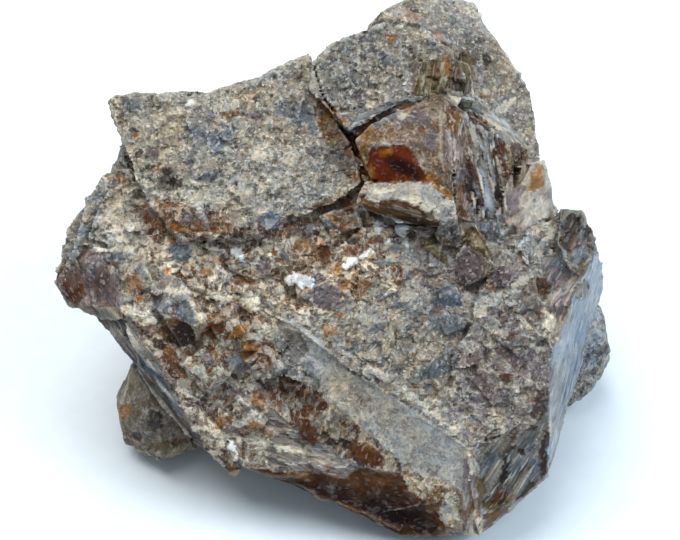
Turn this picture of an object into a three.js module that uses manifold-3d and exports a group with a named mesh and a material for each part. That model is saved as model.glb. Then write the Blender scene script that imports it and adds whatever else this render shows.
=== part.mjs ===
// A hand specimen of massive vesuvianite, in millimetres, +Z up, resting on a flat worn patch at Z = 0.
// It is one solid. A broad broken face leans back from the front; on it lie a slab, steps, a block of
// resinous crystal, a thin blade and a split stub. Behind and below are a shoulder and two feet.
import * as THREE from 'three';
import { ConvexGeometry } from 'three/addons/geometries/ConvexGeometry.js';
import { ImprovedNoise } from 'three/addons/math/ImprovedNoise.js';
import { TessellateModifier } from 'three/addons/modifiers/TessellateModifier.js';
import { mergeVertices } from 'three/addons/utils/BufferGeometryUtils.js';
import Module from 'manifold-3d';

const wasm = await Module();
wasm.setup();

// ---- driving dimensions ----
const faceLean = THREE.MathUtils.degToRad(42); // the broad face's slope from level
const faceHeight = 33; // the face's middle above the resting plane
const slabRoot = -9; // how deep a slab is rooted behind the face

// How a surface is broken: the longest edge on it, the size of its facets and how far they stand proud.
const granular = { edge: 4.9, facet: 4.8, relief: 0.45 }; // packed grains
const blocky = { edge: 3.7, facet: 4, relief: 0.95 }; // small crystals side by side
const shingled = { edge: 4.4, facet: 5.5, relief: 0.7 }; // overlapping flat faces
const glassy = { edge: 7, facet: 6, relief: 0.15 }; // clean crystal faces
const worn = { edge: 9.6, facet: 9, relief: 1.3 }; // the old outside of the specimen

// A point given on the broad face: across to the right, up the slope, and out of the face.
function onFace(across, up, out) {
  return new THREE.Vector3(
    across,
    up * Math.cos(faceLean) - out * Math.sin(faceLean),
    faceHeight + up * Math.sin(faceLean) + out * Math.cos(faceLean),
  );
}

// A point given upright, with Z = 0 at the resting plane and the face's middle above X = Y = 0.
const standing = (x, y, z) => new THREE.Vector3(x, y, z);

// Seeded random numbers from 0 to 1, so that every build is the same.
function randomSource(seed) {
  let state = seed;
  return () => {
    state = (state + 0x6d2b79f5) | 0;
    let mixed = Math.imul(state ^ (state >>> 15), 1 | state);
    mixed = (mixed + Math.imul(mixed ^ (mixed >>> 7), 61 | mixed)) ^ mixed;
    return ((mixed ^ (mixed >>> 14)) >>> 0) / 2 ** 32;
  };
}

const noise = new ImprovedNoise();

// Facets side by side, each with its own height and tilt: the height at a point, from about -1 to 1.
function facetHeight(point, size) {
  const place = point.clone().divideScalar(size);
  const cell = place.clone().floor();
  const centre = new THREE.Vector3();
  const tilt = new THREE.Vector3();
  let nearest = Infinity;
  let height = 0;
  for (let i = 0; i < 27; i++) {
    centre.set(i % 3, Math.floor(i / 3) % 3, Math.floor(i / 9)).addScalar(-1).add(cell);
    const random = randomSource(centre.x * 73856093 ^ centre.y * 19349663 ^ centre.z * 83492791);
    const lift = random() * 2 - 1;
    tilt.set(random() - 0.5, random() - 0.5, random() - 0.5);
    centre.add(new THREE.Vector3(random(), random(), random()));
    const away = place.clone().sub(centre);
    if (away.lengthSq() < nearest) {
      nearest = away.lengthSq();
      height = 0.7 * lift + 2 * away.dot(tilt);
    }
  }
  return height;
}

// Breaks a closed geometry into facets that stand proud of it or lie below it.
function broken(geometry, { edge, facet, relief }) {
  const fine = new TessellateModifier(edge, 16).modify(geometry);
  const bare = new THREE.BufferGeometry().setAttribute('position', fine.getAttribute('position'));
  const closed = mergeVertices(bare, 1e-3);
  closed.computeVertexNormals();
  const place = closed.getAttribute('position');
  const normals = closed.getAttribute('normal');
  const point = new THREE.Vector3();
  const normal = new THREE.Vector3();
  for (let i = 0; i < place.count; i++) {
    point.fromBufferAttribute(place, i);
    normal.fromBufferAttribute(normals, i);
    const [x, y, z] = point.clone().divideScalar(0.7 * facet).toArray();
    const height = 0.75 * facetHeight(point, facet) + 0.5 * noise.noise(x, y, z);
    point.addScaledVector(normal, relief * height);
    place.setXYZ(i, point.x, point.y, point.z);
  }
  return closed;
}

function solid(geometry) {
  const bare = new THREE.BufferGeometry().setAttribute('position', geometry.getAttribute('position'));
  if (geometry.index) bare.setIndex(geometry.index);
  const closed = mergeVertices(bare, 1e-4);
  return new wasm.Manifold(new wasm.Mesh({
    numProp: 3,
    vertProperties: closed.attributes.position.array,
    triVerts: new Uint32Array(closed.index.array),
  }));
}

// A chunk is the broken hull of a few corners.
const chunk = (corners, surface) => solid(broken(new ConvexGeometry(corners), surface));

// A slab is an outline on the face, given as [across, up], with a plane on top: its level at the
// middle of the face, its slope across and its slope up.
function slab({ outline, plane, surface }) {
  const [level, slopeAcross, slopeUp] = plane;
  const flat = outline.map(([across, up]) => new THREE.Vector2(across, up));
  if (THREE.ShapeUtils.isClockWise(flat)) flat.reverse();
  const top = flat.map((p) => onFace(p.x, p.y, level + slopeAcross * p.x + slopeUp * p.y));
  const bottom = flat.map((p) => onFace(p.x, p.y, slabRoot));
  const corners = [];
  const face = (...points) => points.forEach((p) => corners.push(...p.toArray()));
  for (const [a, b, c] of THREE.ShapeUtils.triangulateShape(flat, [])) {
    face(top[a], top[b], top[c]);
    face(bottom[c], bottom[b], bottom[a]);
  }
  flat.forEach((_, i) => {
    const j = (i + 1) % flat.length;
    face(bottom[i], bottom[j], top[j]);
    face(bottom[i], top[j], top[i]);
  });
  const geometry = new THREE.BufferGeometry();
  geometry.setAttribute('position', new THREE.Float32BufferAttribute(corners, 3));
  return solid(broken(geometry, surface));
}

// A groove is a wedge cut along a line on the face: [across, up, width, out at its bottom] at each point.
function groove(line) {
  const wedge = (point, side) => {
    const [across, up, width, bottom] = point;
    return [
      onFace(across, up, bottom),
      onFace(across + side.x * width / 2, up + side.y * width / 2, 2.5),
      onFace(across - side.x * width / 2, up - side.y * width / 2, 2.5),
      onFace(across + side.x * width, up + side.y * width, 7),
      onFace(across - side.x * width, up - side.y * width, 7),
    ];
  };
  return line.slice(1).map((to, i) => {
    const side = new THREE.Vector2(line[i][1] - to[1], to[0] - line[i][0]).normalize();
    return solid(new ConvexGeometry([...wedge(line[i], side), ...wedge(to, side)]));
  });
}

// ---- the body behind the face ----
const core = chunk([
  onFace(-31, 21, -4), onFace(-15, 25, -5), onFace(-3, 30, -7), onFace(8, 34, -9),
  onFace(20, 30, -9), onFace(27, 20, -8), onFace(30, 8, -4), onFace(36, 2, -6),
  onFace(34, -10, -6), onFace(30, -26, -5.5), onFace(20, -35.5, -6), onFace(8, -37, -6.5),
  onFace(-3, -33, -6), onFace(-15, -28, -4.5), onFace(-24, -19, -4), onFace(-32, -8, -4),
  onFace(-38, -3, -6), onFace(-37, 4, -8), onFace(-33, 13, -8),
  onFace(-10, 0, -2.5), onFace(10, -5, -2.5), onFace(0, 12, -3.5), onFace(-20, -10, -3),
  onFace(-31.5, 22.5, -10), onFace(-15, 26, -13), onFace(-5, 30, -14), onFace(-30, 12, -13),
  onFace(21, -36.6, -9), onFace(9, -37.6, -9), onFace(0, -33.6, -10), onFace(28.6, -28, -9),
  standing(-18, -4, 2.5), standing(-8, -8, -1.5), standing(18, -12, -1), standing(28, 4, 2.5),
  standing(22, 20, -1.5), standing(27, 29, 3), standing(5, 36, 3.5), standing(0, 26, -1.5),
  standing(-20, 26, 4), standing(-14, 14, -1.5), standing(-24, 34, 24), standing(-2, 43, 34),
  standing(21, 41, 32), standing(30, 34, 16), standing(-31, 20, 12),
], worn);

const shoulder = chunk([
  onFace(6, 38.5, -9), onFace(13, 41.5, -13), onFace(20, 40, -14), onFace(23.4, 34.4, -13),
  onFace(28.8, 27, -10.5), onFace(30, 19, -8.5), onFace(30.4, 14, -10), onFace(18, 16, -5),
  onFace(10, 30, -7), standing(4, 46, 38), standing(18, 48, 34), standing(27, 40, 24),
  standing(12, 36, 6), standing(-4, 40, 26),
], { ...worn, relief: 0.8 });

const feet = [
  chunk([
    standing(-33.5, -8, 9), standing(-34.4, -2, 6), standing(-33, -9, 3), standing(-28, -9, -1),
    standing(-32, 0, -1), standing(-27, -12.5, 4), standing(-27, -11, 12), standing(-20, -9, 3),
    standing(-20, -6, -0.5), standing(-14, 6, 3), standing(-15, 0, 14), standing(-31, -1, 14),
    standing(-26, 8, 0), standing(-24, 10, 16), standing(-33, 5, 4),
  ], { ...worn, relief: 0.7 }),
  chunk([
    standing(42.4, 5, 6), standing(42, 4, 11), standing(40.6, 9, 14), standing(39, 0, 4),
    standing(36, 1, -1), standing(39.6, 8, -1), standing(37, 13, -0.5), standing(35, 18, 12),
    standing(24, -6, 3), standing(24, 20, 3), standing(26, 0, 18), standing(36, 5, 18),
    standing(28, 8, 0), standing(40, 15, 5),
  ], { ...worn, relief: 0.7 }),
];

// ---- the broad face and what lies on it ----
const faceParts = {
  upperSlab: slab({
    outline: [[-33.8, 24.5], [-32.8, 25.4], [-21.6, 25.7], [-14.5, 26.6], [-4.3, 31.8], [-3.6, 27],
      [-1.4, 22.8], [1.7, 17.6], [3.2, 13], [-1.4, 9.6], [-4, 8.4], [-7, 7.8], [-11.2, 5.5],
      [-15.4, 6.2], [-18, 4.6], [-22, 5.2], [-25.4, 6.9], [-27.4, 9.4], [-29.3, 13]],
    plane: [1.3, 0, -0.13], surface: granular,
  }),
  upperMiddle: slab({
    outline: [[-3.5, 30], [-1.4, 32.4], [6.5, 36], [13, 34.6], [17.6, 30], [18, 26], [14.4, 25.2],
      [8.6, 24], [1.4, 20], [-1.4, 22.6], [-3.9, 26.2]],
    plane: [4.6, 0, -0.18], surface: { ...granular, relief: 0.6 },
  }),
  middleBand: slab({
    outline: [[-33.6, 11.5], [-27, 13], [-24, 8], [-12, 7], [4, 15], [16, 14], [20, 6], [10, -2],
      [-6, -11], [-16, -9], [-31.6, -7.2], [-32.6, -2], [-32.4, 2.6], [-36.8, 4.6], [-35, 9]],
    plane: [-0.9, 0.015, -0.04], surface: blocky,
  }),
  leftTip: chunk([
    onFace(-32.2, 3, -0.8), onFace(-31.4, -7, -0.9), onFace(-38.6, 2.8, -2.4), onFace(-41.8, -1.8, -4),
    onFace(-40.2, -4.7, -4.6), onFace(-34.8, -7.2, -3.6), onFace(-31, 2, -12), onFace(-31, -6, -12),
    onFace(-39, -2, -10), onFace(-36, 3, -11),
  ], { ...shingled, relief: 0.35 }),
  lowerLeft: slab({
    outline: [[-31.4, -7.6], [-28, -6.4], [-14, -7], [-8, -9], [4, -20], [12, -34], [8.6, -38],
      [-1.2, -34], [-14.2, -28.8], [-18.3, -24.8], [-23.3, -19.8]],
    plane: [1.2, 0.04, 0.15], surface: blocky,
  }),
  leftFlank: chunk([
    onFace(-34.4, -7.4, -3.8), onFace(-25.4, -21, -4.2), onFace(-20, -26.4, -4.6),
    onFace(-15.6, -30.4, -5.4), onFace(-30.4, -7, -1.4), onFace(-22.4, -19.4, -2.4),
    onFace(-14, -28, -3.8), onFace(-10, -20, -6), onFace(-31, -4, -9), onFace(-24, -14, -16),
    onFace(-16, -22, -16),
  ], { ...shingled, relief: 0.4 }),
  lowerFacet: slab({
    outline: [[-12, -5.6], [-6, -8.4], [0.7, -13.5], [8.6, -19.2], [18.7, -25.8], [20, -28.5],
      [20.8, -38.6], [9, -39.4], [0, -34.6], [-1, -24], [-6, -16]],
    plane: [3.7, 0.213, 0.303], surface: { edge: 4.4, facet: 7, relief: 0.4 },
  }),
  rightFace: slab({
    outline: [[3, 6], [16.5, 6.5], [23, 3], [31.7, 8], [36, 3.5], [33, -5.8], [30.7, -10.8],
      [30.4, -18.2], [25.2, -22.4], [18.7, -26], [8.6, -19.4], [0.7, -13.7], [-6, -8.6],
      [-12, -5.5]],
    plane: [-0.1, 0, 0], surface: { ...granular, relief: 0.5 },
  }),
  raisedRight: slab({
    outline: [[23.5, 1.7], [27, 5], [31.7, 8], [34, 3], [36, 2], [33, -5.8], [30.7, -10.8],
      [30.2, -18.6], [25, -21.8], [19, -20], [15.8, -17.3], [16.4, -13], [18.2, -9.5], [19.2, -4.6]],
    plane: [1.1, -0.02, 0.02], surface: shingled,
  }),
  // sloping ground between the upper block and the resinous one, to the right of the blade, and at the left
  trough: slab({
    outline: [[0.8, 20.6], [4, 19], [12, 19], [16, 22], [18, 26.4], [9, 25], [3, 22.4]],
    plane: [-2.2, 0.05, 0.06], surface: { ...shingled, relief: 0.4 },
  }),
  besideBlade: slab({
    outline: [[15.6, 7.6], [24, 8.6], [29.6, 6.4], [27, 2.4], [22, 1], [17, 3], [13.6, 5]],
    plane: [0.5, 0, 0.02], surface: blocky,
  }),
  leftStep: slab({
    outline: [[-37, 10.4], [-33.4, 14.4], [-29.4, 14], [-30, 4], [-33, 1], [-38.8, 2.6]],
    plane: [-1.6, 0.03, 0], surface: { ...blocky, relief: 0.5 },
  }),
  cornerColumn: slab({
    outline: [[18.2, -26], [25.2, -21.6], [30.4, -17.8], [30.4, -30], [20.2, -38.8]],
    plane: [4.3, -0.02, 0.18], surface: { ...shingled, facet: 3.5, relief: 0.5 },
  }),
  sideFace: chunk([
    onFace(36, 3, -1), onFace(33.2, -5.8, 0.6), onFace(30.8, -11, 0.6), onFace(30.3, -18, 0.4),
    onFace(30, -29, -1.6), onFace(38.6, 1, -6), onFace(39, -3, -8), onFace(37.4, -10, -11),
    onFace(35.6, -17.5, -13), onFace(33.2, -25, -12), onFace(30.6, -31, -8), onFace(25, -20, -10),
    onFace(28, 0, -10), onFace(27, -8, -1), onFace(26, -26, -2), onFace(32, 2, -1),
  ], { edge: 6, facet: 8, relief: 0.4 }),
  resinBlock: chunk([
    onFace(2.3, 18.6, 1.6), onFace(5.1, 21.3, 1), onFace(10.7, 22, 0.8), onFace(14.5, 25.2, 0.2),
    onFace(4.5, 17.9, 3.4), onFace(9.5, 17.9, 3.8), onFace(11.8, 14.5, 3.8), onFace(13, 12.4, 3.4),
    onFace(16.3, 9.5, 3), onFace(4.3, 13, 1.8), onFace(15.5, 20, 2.2), onFace(16, 14.5, 3.2),
    onFace(3, 19, -8), onFace(4, 12, -8), onFace(16, 10, -8), onFace(15, 26, -8),
  ], { ...glassy, edge: 4.4 }),
  streakedBlock: chunk([
    onFace(14.5, 25.2, 0.2), onFace(18.3, 21.9, 0.5), onFace(23.6, 18.6, -1.2),
    onFace(26.5, 17.2, -2.5), onFace(24.6, 12.5, -1.2), onFace(23.6, 7.2, 0), onFace(19.2, 7, 1),
    onFace(16.6, 7.8, 2), onFace(16.3, 14, 3.2), onFace(15, 26, -9), onFace(27, 14, -10),
    onFace(17, 7, -9), onFace(25, 6, -9),
  ], { edge: 3.6, facet: 2.8, relief: 0.45 }),
  blade: chunk([
    onFace(2.3, 9.5, 3), onFace(3.6, 12.3, 3.2), onFace(13, 12.5, 3.6), onFace(16.1, 10, 3.8),
    onFace(16.7, 7.4, 3.9), onFace(13, 6.9, 4.5), onFace(8, 8.6, 4.5), onFace(4.4, 8.3, 2.4),
    onFace(8.6, 6.9, 2.4), onFace(13, 6.2, 2.8), onFace(16.6, 6.4, 2.8), onFace(5, 13, -5),
    onFace(15, 12.5, -5), onFace(15.5, 10, -5), onFace(6, 11, -5),
  ], { ...glassy, relief: 0.1 }),
  stub: chunk([
    onFace(25, 15, 0.8), onFace(29.4, 15.9, 0.2), onFace(30.4, 12, 0.8), onFace(30.6, 9, 0.4),
    onFace(28.8, 5, 1), onFace(23, 4.4, 1), onFace(22.4, 8, 1.2), onFace(26, 14.5, -8),
    onFace(30.2, 12, -9), onFace(23, 5, -8), onFace(29, 4, -8),
  ], glassy),
  darkCorner: chunk([
    onFace(31.8, 8.6, 1.8), onFace(35, 8.8, 0.8), onFace(37.2, 6, -1), onFace(37.8, 2, -3),
    onFace(35.6, -1.5, 0), onFace(33, 0, 2.4), onFace(31.4, 4, 2.6), onFace(33, 8, -9),
    onFace(38.6, 1, -9), onFace(34, -4, -9), onFace(30, 6, -9),
  ], { ...worn, facet: 4, relief: 0.5 }),
  leftLobes: chunk([
    onFace(-31, 16, -5), onFace(-34, 13.4, -6), onFace(-35.4, 11, -6), onFace(-33, 9, -4),
    onFace(-26, 10, -4), onFace(-28, 15, -5), onFace(-33, 13, -14), onFace(-26, 12, -14),
  ], { ...worn, relief: 0.6 }),
  leftLumps: chunk([
    onFace(-37.6, 9.4, -4), onFace(-40, 6, -4), onFace(-41, 1.4, -4), onFace(-41.5, -1.5, -4),
    onFace(-35, -3, -3), onFace(-32, 8, -3), onFace(-38, 5, -12), onFace(-36, -3, -12),
  ], { ...worn, facet: 4, relief: 0.5 }),
};

// ---- crystals with clean faces ----
const crystals = [
  // pointed and square ones standing proud of the right of the face
  [[19.4, 6.2, 1.6], [16.4, 1.4, 0], [17.6, -3, 0], [22.4, 0, 1.7]],
  [[12.9, -4.4, 0], [16.8, -2.6, 0.8], [18.9, -7.6, 1], [15.2, -9.2, 0.2]],
  [[10.6, 3.2, 0.1], [14.8, 3.8, 1.1], [14, -0.6, 0.5], [11.8, -0.8, -0.2]],
  [[22.6, 0.6, 1.2], [26.8, 1.6, 1.8], [28.6, -4.2, 2.1], [24.4, -6.4, 1.2]],
  [[20.6, -8.2, 0.9], [24, -5.8, 1.8], [28.8, -9.4, 2], [25.8, -12.6, 1.1]],
  [[18.4, -15.4, 0.9], [23, -12.6, 1.7], [27.4, -16.2, 1.6], [22, -19.6, 0.6]],
  // a squat one in the middle, and smaller ones round it
  [[-5.8, -3.6, 0.2], [-1, -1, 1], [1.9, -4.2, 0.8], [-2.4, -6.6, -0.2]],
  [[-16.4, 1, -0.2], [-12, 3, 0.6], [-8.6, 0.6, 0.8], [-12.8, -1.8, -0.6]],
  [[-2.4, 8, 0.4], [2.6, 9.2, 1], [2.8, 6.4, 0.2], [-1, 4.8, -0.4]],
  // two on the slab's lower edge
  [[-26.2, 8.4, 0.6], [-20.4, 9.2, 1.8], [-18.4, 5.2, 1.2], [-23, 4.4, 0.6]],
  [[-17.6, 6.8, 0.6], [-12.6, 7.8, 1.7], [-11.6, 5, 1], [-16.6, 4.4, 0.5]],
  // blocks in the lower left, among them a striped one and two of amber
  [[-26.4, -5.6, 0], [-22.8, -2.9, 0.9], [-19.2, -7.8, 1.2], [-22.8, -11.4, -0.8]],
  [[-31.8, -1.2, -0.8], [-28.6, 1, 0.1], [-26, -3.2, 0.2], [-30, -5.6, -1.5]],
  [[-18.8, -7.6, 0.3], [-15.6, -5.4, 0.8], [-13.6, -9, 0.7], [-17, -11.2, -0.5]],
  [[-15.2, -8.4, 0.3], [-11.6, -8.2, 1], [-11.2, -11.4, 0.4], [-14.2, -11.8, -0.2]],
  [[-13.6, -13.2, 0.1], [-10.8, -11, 0.8], [-8.4, -14, 0.8], [-11.2, -16.2, -0.5]],
  [[-23, -13.6, -1], [-19.4, -11.2, -0.1], [-16.4, -15.2, 0.1], [-19.6, -18, -1.9]],
  [[-18.6, -21.2, -2.5], [-14.8, -18.4, -1.1], [-11, -21.8, -1], [-14.6, -25.4, -3]],
  // blocks in a row across the lower facet, and a splinter below them
  [[-8.2, -16.6, -1.6], [-4, -16.8, -0.7], [-3, -20.8, -2], [-7.6, -21, -2.9]],
  [[-3.2, -19.2, -1.9], [1.4, -19.4, -0.9], [2, -23.8, -2.3], [-2.2, -24, -3.2]],
  [[-7.4, -25.2, -3.2], [-3, -25, -2.8], [6, -30.4, -4], [0.4, -29.8, -4.8]],
].map((corners) => {
  const middle = corners.reduce((sum, [across, up]) => sum.add(new THREE.Vector2(across, up)), new THREE.Vector2());
  middle.divideScalar(corners.length);
  return solid(new ConvexGeometry([
    ...corners.map(([across, up, out]) => onFace(across, up, out)),
    ...corners.map(([across, up, out]) => {
      const foot = new THREE.Vector2(across, up).sub(middle).multiplyScalar(1.35).add(middle);
      return onFace(foot.x, foot.y, out - 2.4);
    }),
  ]));
});

// two blades left standing in the split end of the upper block
const splitBlades = [
  [[13.8, 25.4, 0.5], [15, 30, -0.6], [16.4, 30.4, -1.4], [16.8, 25, -0.6]],
  [[16.4, 25, -1], [16.6, 30.8, -1.2], [18.6, 30, -2.8], [19.6, 24.6, -2.6]],
].map((corners) => solid(new ConvexGeometry([
  ...corners.map(([across, up, out]) => onFace(across, up, out)),
  ...corners.map(([across, up]) => onFace(across, up - 1, -9)),
])));

// ---- grooves, gaps and hollows ----
const random = randomSource(7);
const scoop = (across, up, out, width, length, depth) => {
  const spread = [0.35, 0.9, 1.5];
  const corners = spread.flatMap((reach, ring) => Array.from({ length: 5 }, () => {
    const angle = random() * 2 * Math.PI;
    const far = reach * (0.7 + 0.5 * random()) / 2;
    return onFace(across + width * far * Math.cos(angle), up + length * far * Math.sin(angle),
      out + depth * (ring - 1) * (0.8 + 0.4 * random()));
  }));
  return solid(new ConvexGeometry(corners));
};

const hollows = [
  // between the slab, the upper block and the block of resinous crystal
  ...groove([[-3.8, 29.4, 0.6, -2.8], [-2.6, 25.4, 0.6, -1.5], [0.6, 20.4, 0.9, -1.2], [2.3, 16.4, 1.5, -1.2],
    [3.3, 12.6, 0.9, 0]]),
  ...groove([[1.2, 20, 1.2, 0.2], [6, 22.9, 1.4, 0.6], [10, 24.6, 1.2, 1.2]]),
  // the split end of the upper block
  ...groove([[12.6, 27.8, 1.4, -1], [15.6, 27, 3, -3], [19.4, 26, 3, -4.4]]),
  // three-cornered gap behind the stub
  ...groove([[25.4, 18.4, 2.2, -6.4], [26.2, 15.4, 2.6, -6], [25.2, 11.8, 0.6, -2.4]]),
  // below the slab, dark and glossy
  ...groove([[-26, 6.2, 1.2, -1.4], [-21.4, 4.4, 2.4, -2.6], [-17.6, 3.8, 2.4, -2.6], [-14.4, 4.6, 1, -1.6]]),
  ...groove([[-10.4, 4.4, 0.5, 0], [-6.6, 6.6, 0.8, -0.4], [-1, 8.6, 0.7, 0], [2.6, 11.8, 0.6, 0.4]]),
  // under the blade, and a scooped break at the foot of the lower facet
  scoop(8.6, 4.6, -0.6, 5, 3.2, 1.8),
  scoop(11, -36, -2.6, 17, 9, 3.2),
  // a pit in the slab and hollows where grains have dropped out
  scoop(-25.2, 12.4, 0, 5, 4, 1), scoop(-7, -3.4, -0.6, 5, 4, 1), scoop(9, -10, 0, 7, 5, 0.9),
];

// ---- joining, with loose flakes dropped and the worn patch at the bottom cut level ----
const pieces = [core, shoulder, ...feet, ...Object.values(faceParts)];
const joined = pieces.reduce((whole, piece) => whole.add(piece));
const carved = hollows.reduce((whole, hollow) => whole.subtract(hollow), joined);
const grown = [...crystals, ...splitBlades].reduce((whole, crystal) => whole.add(crystal), carved);
const above = solid(new THREE.BoxGeometry(300, 300, 200).translate(0, 0, 100));
const [rock] = grown.intersect(above).decompose().sort((one, other) => other.volume() - one.volume());

const { vertProperties, triVerts } = rock.getMesh();
const surface = new THREE.BufferGeometry();
surface.setAttribute('position', new THREE.BufferAttribute(vertProperties, 3));
surface.setIndex(new THREE.BufferAttribute(triVerts, 1));
// the part's origin is below the middle of its bounding box
surface.computeBoundingBox();
const centre = surface.boundingBox.getCenter(new THREE.Vector3());
surface.translate(-centre.x, -centre.y, 0);
const stone = new THREE.MeshStandardMaterial({ color: 0x87857f, roughness: 0.72, metalness: 0 });
const mesh = new THREE.Mesh(surface, stone);
mesh.name = 'vesuvianite_rock';

const specimen = new THREE.Group();
specimen.add(mesh);
export default specimen;
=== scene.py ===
import math

import bmesh
import bpy
import numpy as np
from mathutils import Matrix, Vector


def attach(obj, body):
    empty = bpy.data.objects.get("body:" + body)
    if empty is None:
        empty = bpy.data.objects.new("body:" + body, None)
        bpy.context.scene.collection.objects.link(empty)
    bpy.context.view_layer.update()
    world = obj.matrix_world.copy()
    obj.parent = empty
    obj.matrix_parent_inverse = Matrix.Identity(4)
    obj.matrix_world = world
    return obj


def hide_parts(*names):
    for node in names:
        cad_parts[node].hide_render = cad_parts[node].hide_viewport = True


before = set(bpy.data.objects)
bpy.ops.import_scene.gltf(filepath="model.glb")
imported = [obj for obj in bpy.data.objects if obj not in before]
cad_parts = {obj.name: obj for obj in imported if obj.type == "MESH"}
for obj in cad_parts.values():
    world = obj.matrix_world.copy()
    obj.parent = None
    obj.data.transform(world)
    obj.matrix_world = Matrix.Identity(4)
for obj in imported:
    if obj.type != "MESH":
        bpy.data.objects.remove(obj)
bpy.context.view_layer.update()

mm = 0.001
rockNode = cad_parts["vesuvianite_rock"]

# the broad broken face has a frame of its own: across, up the slope, and out of the face
face = {
    "lean": math.radians(42),
    "height": 33 * mm,
    "shift": (-0.3363 * mm, -10.6275 * mm),
    "away": 250.4,  # from the middle of the face to the eye, in millimetres
}
faceAxes = np.array([
    (1, 0, 0),
    (0, math.cos(face["lean"]), math.sin(face["lean"])),
    (0, -math.sin(face["lean"]), math.cos(face["lean"])),
])
faceMiddle = np.array((*face["shift"], face["height"]))


def toFace(points):
    # metres in the room to millimetres on the face
    return (points - faceMiddle) @ faceAxes.T / mm


def squareOn(spot):
    # where a point lies for someone who looks square on to the face, a hand's length away
    return spot[:, :2] * (face["away"] / (face["away"] - spot[:, 2]))[:, None]


def smooth(low, high, values):
    t = np.clip((values - low) / (high - low), 0, 1)
    return t * t * (3 - 2 * t)


# large numbers without common factors, which mix whole numbers into random ones
mixing = {"axes": (73856093, 19349663, 83492791), "seed": 2654435, "start": 12345, "spread": 2246822519,
          "times": 1664525, "plus": 1013904223, "mask": 0xFFFFFF}


def scramble(cells, seed):
    # whole numbers in, seven random numbers from 0 to 1 out for each
    mixed = np.uint32(seed * mixing["seed"] + mixing["start"]) + np.zeros(len(cells), np.uint32)
    for axis, factor in enumerate(mixing["axes"]):
        mixed ^= cells[:, axis].astype(np.int64).astype(np.uint32) * np.uint32(factor)
        mixed ^= mixed >> np.uint32(15)
        mixed *= np.uint32(mixing["spread"])
        mixed ^= mixed >> np.uint32(13)
    out = []
    for _ in range(7):
        mixed = mixed * np.uint32(mixing["times"]) + np.uint32(mixing["plus"])
        out.append(((mixed ^ (mixed >> np.uint32(16))) & np.uint32(mixing["mask"])) / (mixing["mask"] + 1))
    return np.stack(out, 1)


def grains(points, size, seed):
    # the nearest grain to each point: its random numbers, the way from its middle, and the gap to the next
    place = points / size
    base = np.floor(place)
    farther = 9.0  # than any grain can be
    best = np.full(len(place), farther)
    second = np.full(len(place), farther)
    away = np.zeros_like(place)
    marks = np.zeros((len(place), 4))
    for step in np.ndindex(3, 3, 3):
        cell = base + np.array(step) - 1
        random = scramble(cell, seed)
        gap = place - cell - random[:, :3]
        distance = (gap ** 2).sum(1)
        nearer = distance < best
        second = np.where(nearer, best, np.minimum(second, distance))
        best = np.where(nearer, distance, best)
        away[nearer] = gap[nearer]
        marks[nearer] = random[nearer, 3:]
    return marks, away, np.sqrt(second) - np.sqrt(best)


def ripple(points, size, seed):
    # soft noise from -1 to 1
    place = points / size
    base = np.floor(place)
    part = place - base
    part = part * part * (3 - 2 * part)
    total = np.zeros(len(place))
    for step in np.ndindex(2, 2, 2):
        corner = np.array(step)
        weight = np.prod(np.where(corner, part, 1 - part), axis=1)
        total += weight * scramble(base + corner, seed)[:, 3]
    return total * 2 - 1


def inside(seen, outline):
    within = np.zeros(len(seen), bool)
    for (x0, y0), (x1, y1) in zip(outline, outline[1:] + outline[:1]):
        crosses = (seen[:, 1] < y0) != (seen[:, 1] < y1)
        if y0 != y1:
            within ^= crosses & (seen[:, 0] < (x1 - x0) * (seen[:, 1] - y0) / (y1 - y0) + x0)
    return within


def ellipse(seen, across, up, halfWidth, halfHeight, turn):
    # below 1 inside
    angle = math.radians(turn)
    u = seen[:, 0] - across
    v = seen[:, 1] - up
    a = (u * math.cos(angle) + v * math.sin(angle)) / halfWidth
    b = (v * math.cos(angle) - u * math.sin(angle)) / halfHeight
    return np.sqrt(a * a + b * b)


minerals = {
    # colour, how much it varies from crystal to crystal, gloss, graininess
    "sand": ((0.38, 0.325, 0.235), 0.2, 0, 1),
    "cream": ((0.52, 0.475, 0.385), 0.15, 0, 0.8),
    "grey": ((0.255, 0.245, 0.222), 0.2, 0.1, 1),
    "stone": ((0.15, 0.14, 0.125), 0.25, 0.15, 1),
    "slate": ((0.122, 0.136, 0.151), 0.25, 0.3, 0.9),
    "paleSlate": ((0.25, 0.285, 0.32), 0.15, 0.25, 0.6),
    "violet": ((0.14, 0.112, 0.118), 0.25, 0.35, 0.9),
    "rust": ((0.2, 0.095, 0.028), 0.3, 0.3, 0.9),
    "brown": ((0.08, 0.028, 0.01), 0.35, 0.5, 0.7),
    "deep": ((0.022, 0.014, 0.012), 0.4, 0.5, 0.5),
    "amber": ((0.27, 0.095, 0.011), 0.3, 0.6, 0.8),
    "olive": ((0.092, 0.068, 0.026), 0.3, 0.4, 0.8),
    "chalk": ((0.74, 0.77, 0.76), 0.06, 0.1, 0.2),
    "amberGlass": ((0.085, 0.014, 0.0008), 0.15, 0.5, 0.25),
    "resin": ((0.014, 0.004, 0.0015), 0.15, 0.5, 0.3),
}
mineralNames = list(minerals)
mineralTable = np.array([(*colour, *others) for colour, *others in minerals.values()])


# places on the face are counted in small steps, across from the left and down from the top
steps = {"size": 0.144, "middle": (340, 270)}  # a step in millimetres, and where the middle of the face lies


def fromSteps(across, down):
    # to millimetres from the middle of the face, across and up, to the nearest tenth
    left, top = steps["middle"]
    return round((across - left) * steps["size"], 1), round((top - down) * steps["size"], 1)


def outlineOf(corners):
    return [fromSteps(*corner) for corner in corners]


def patchOf(across, down, halfWidth, halfHeight, turn=0):
    halves = [round(half * steps["size"], 1) for half in (halfWidth, halfHeight)]
    return *fromSteps(across, down), *halves, turn


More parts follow.
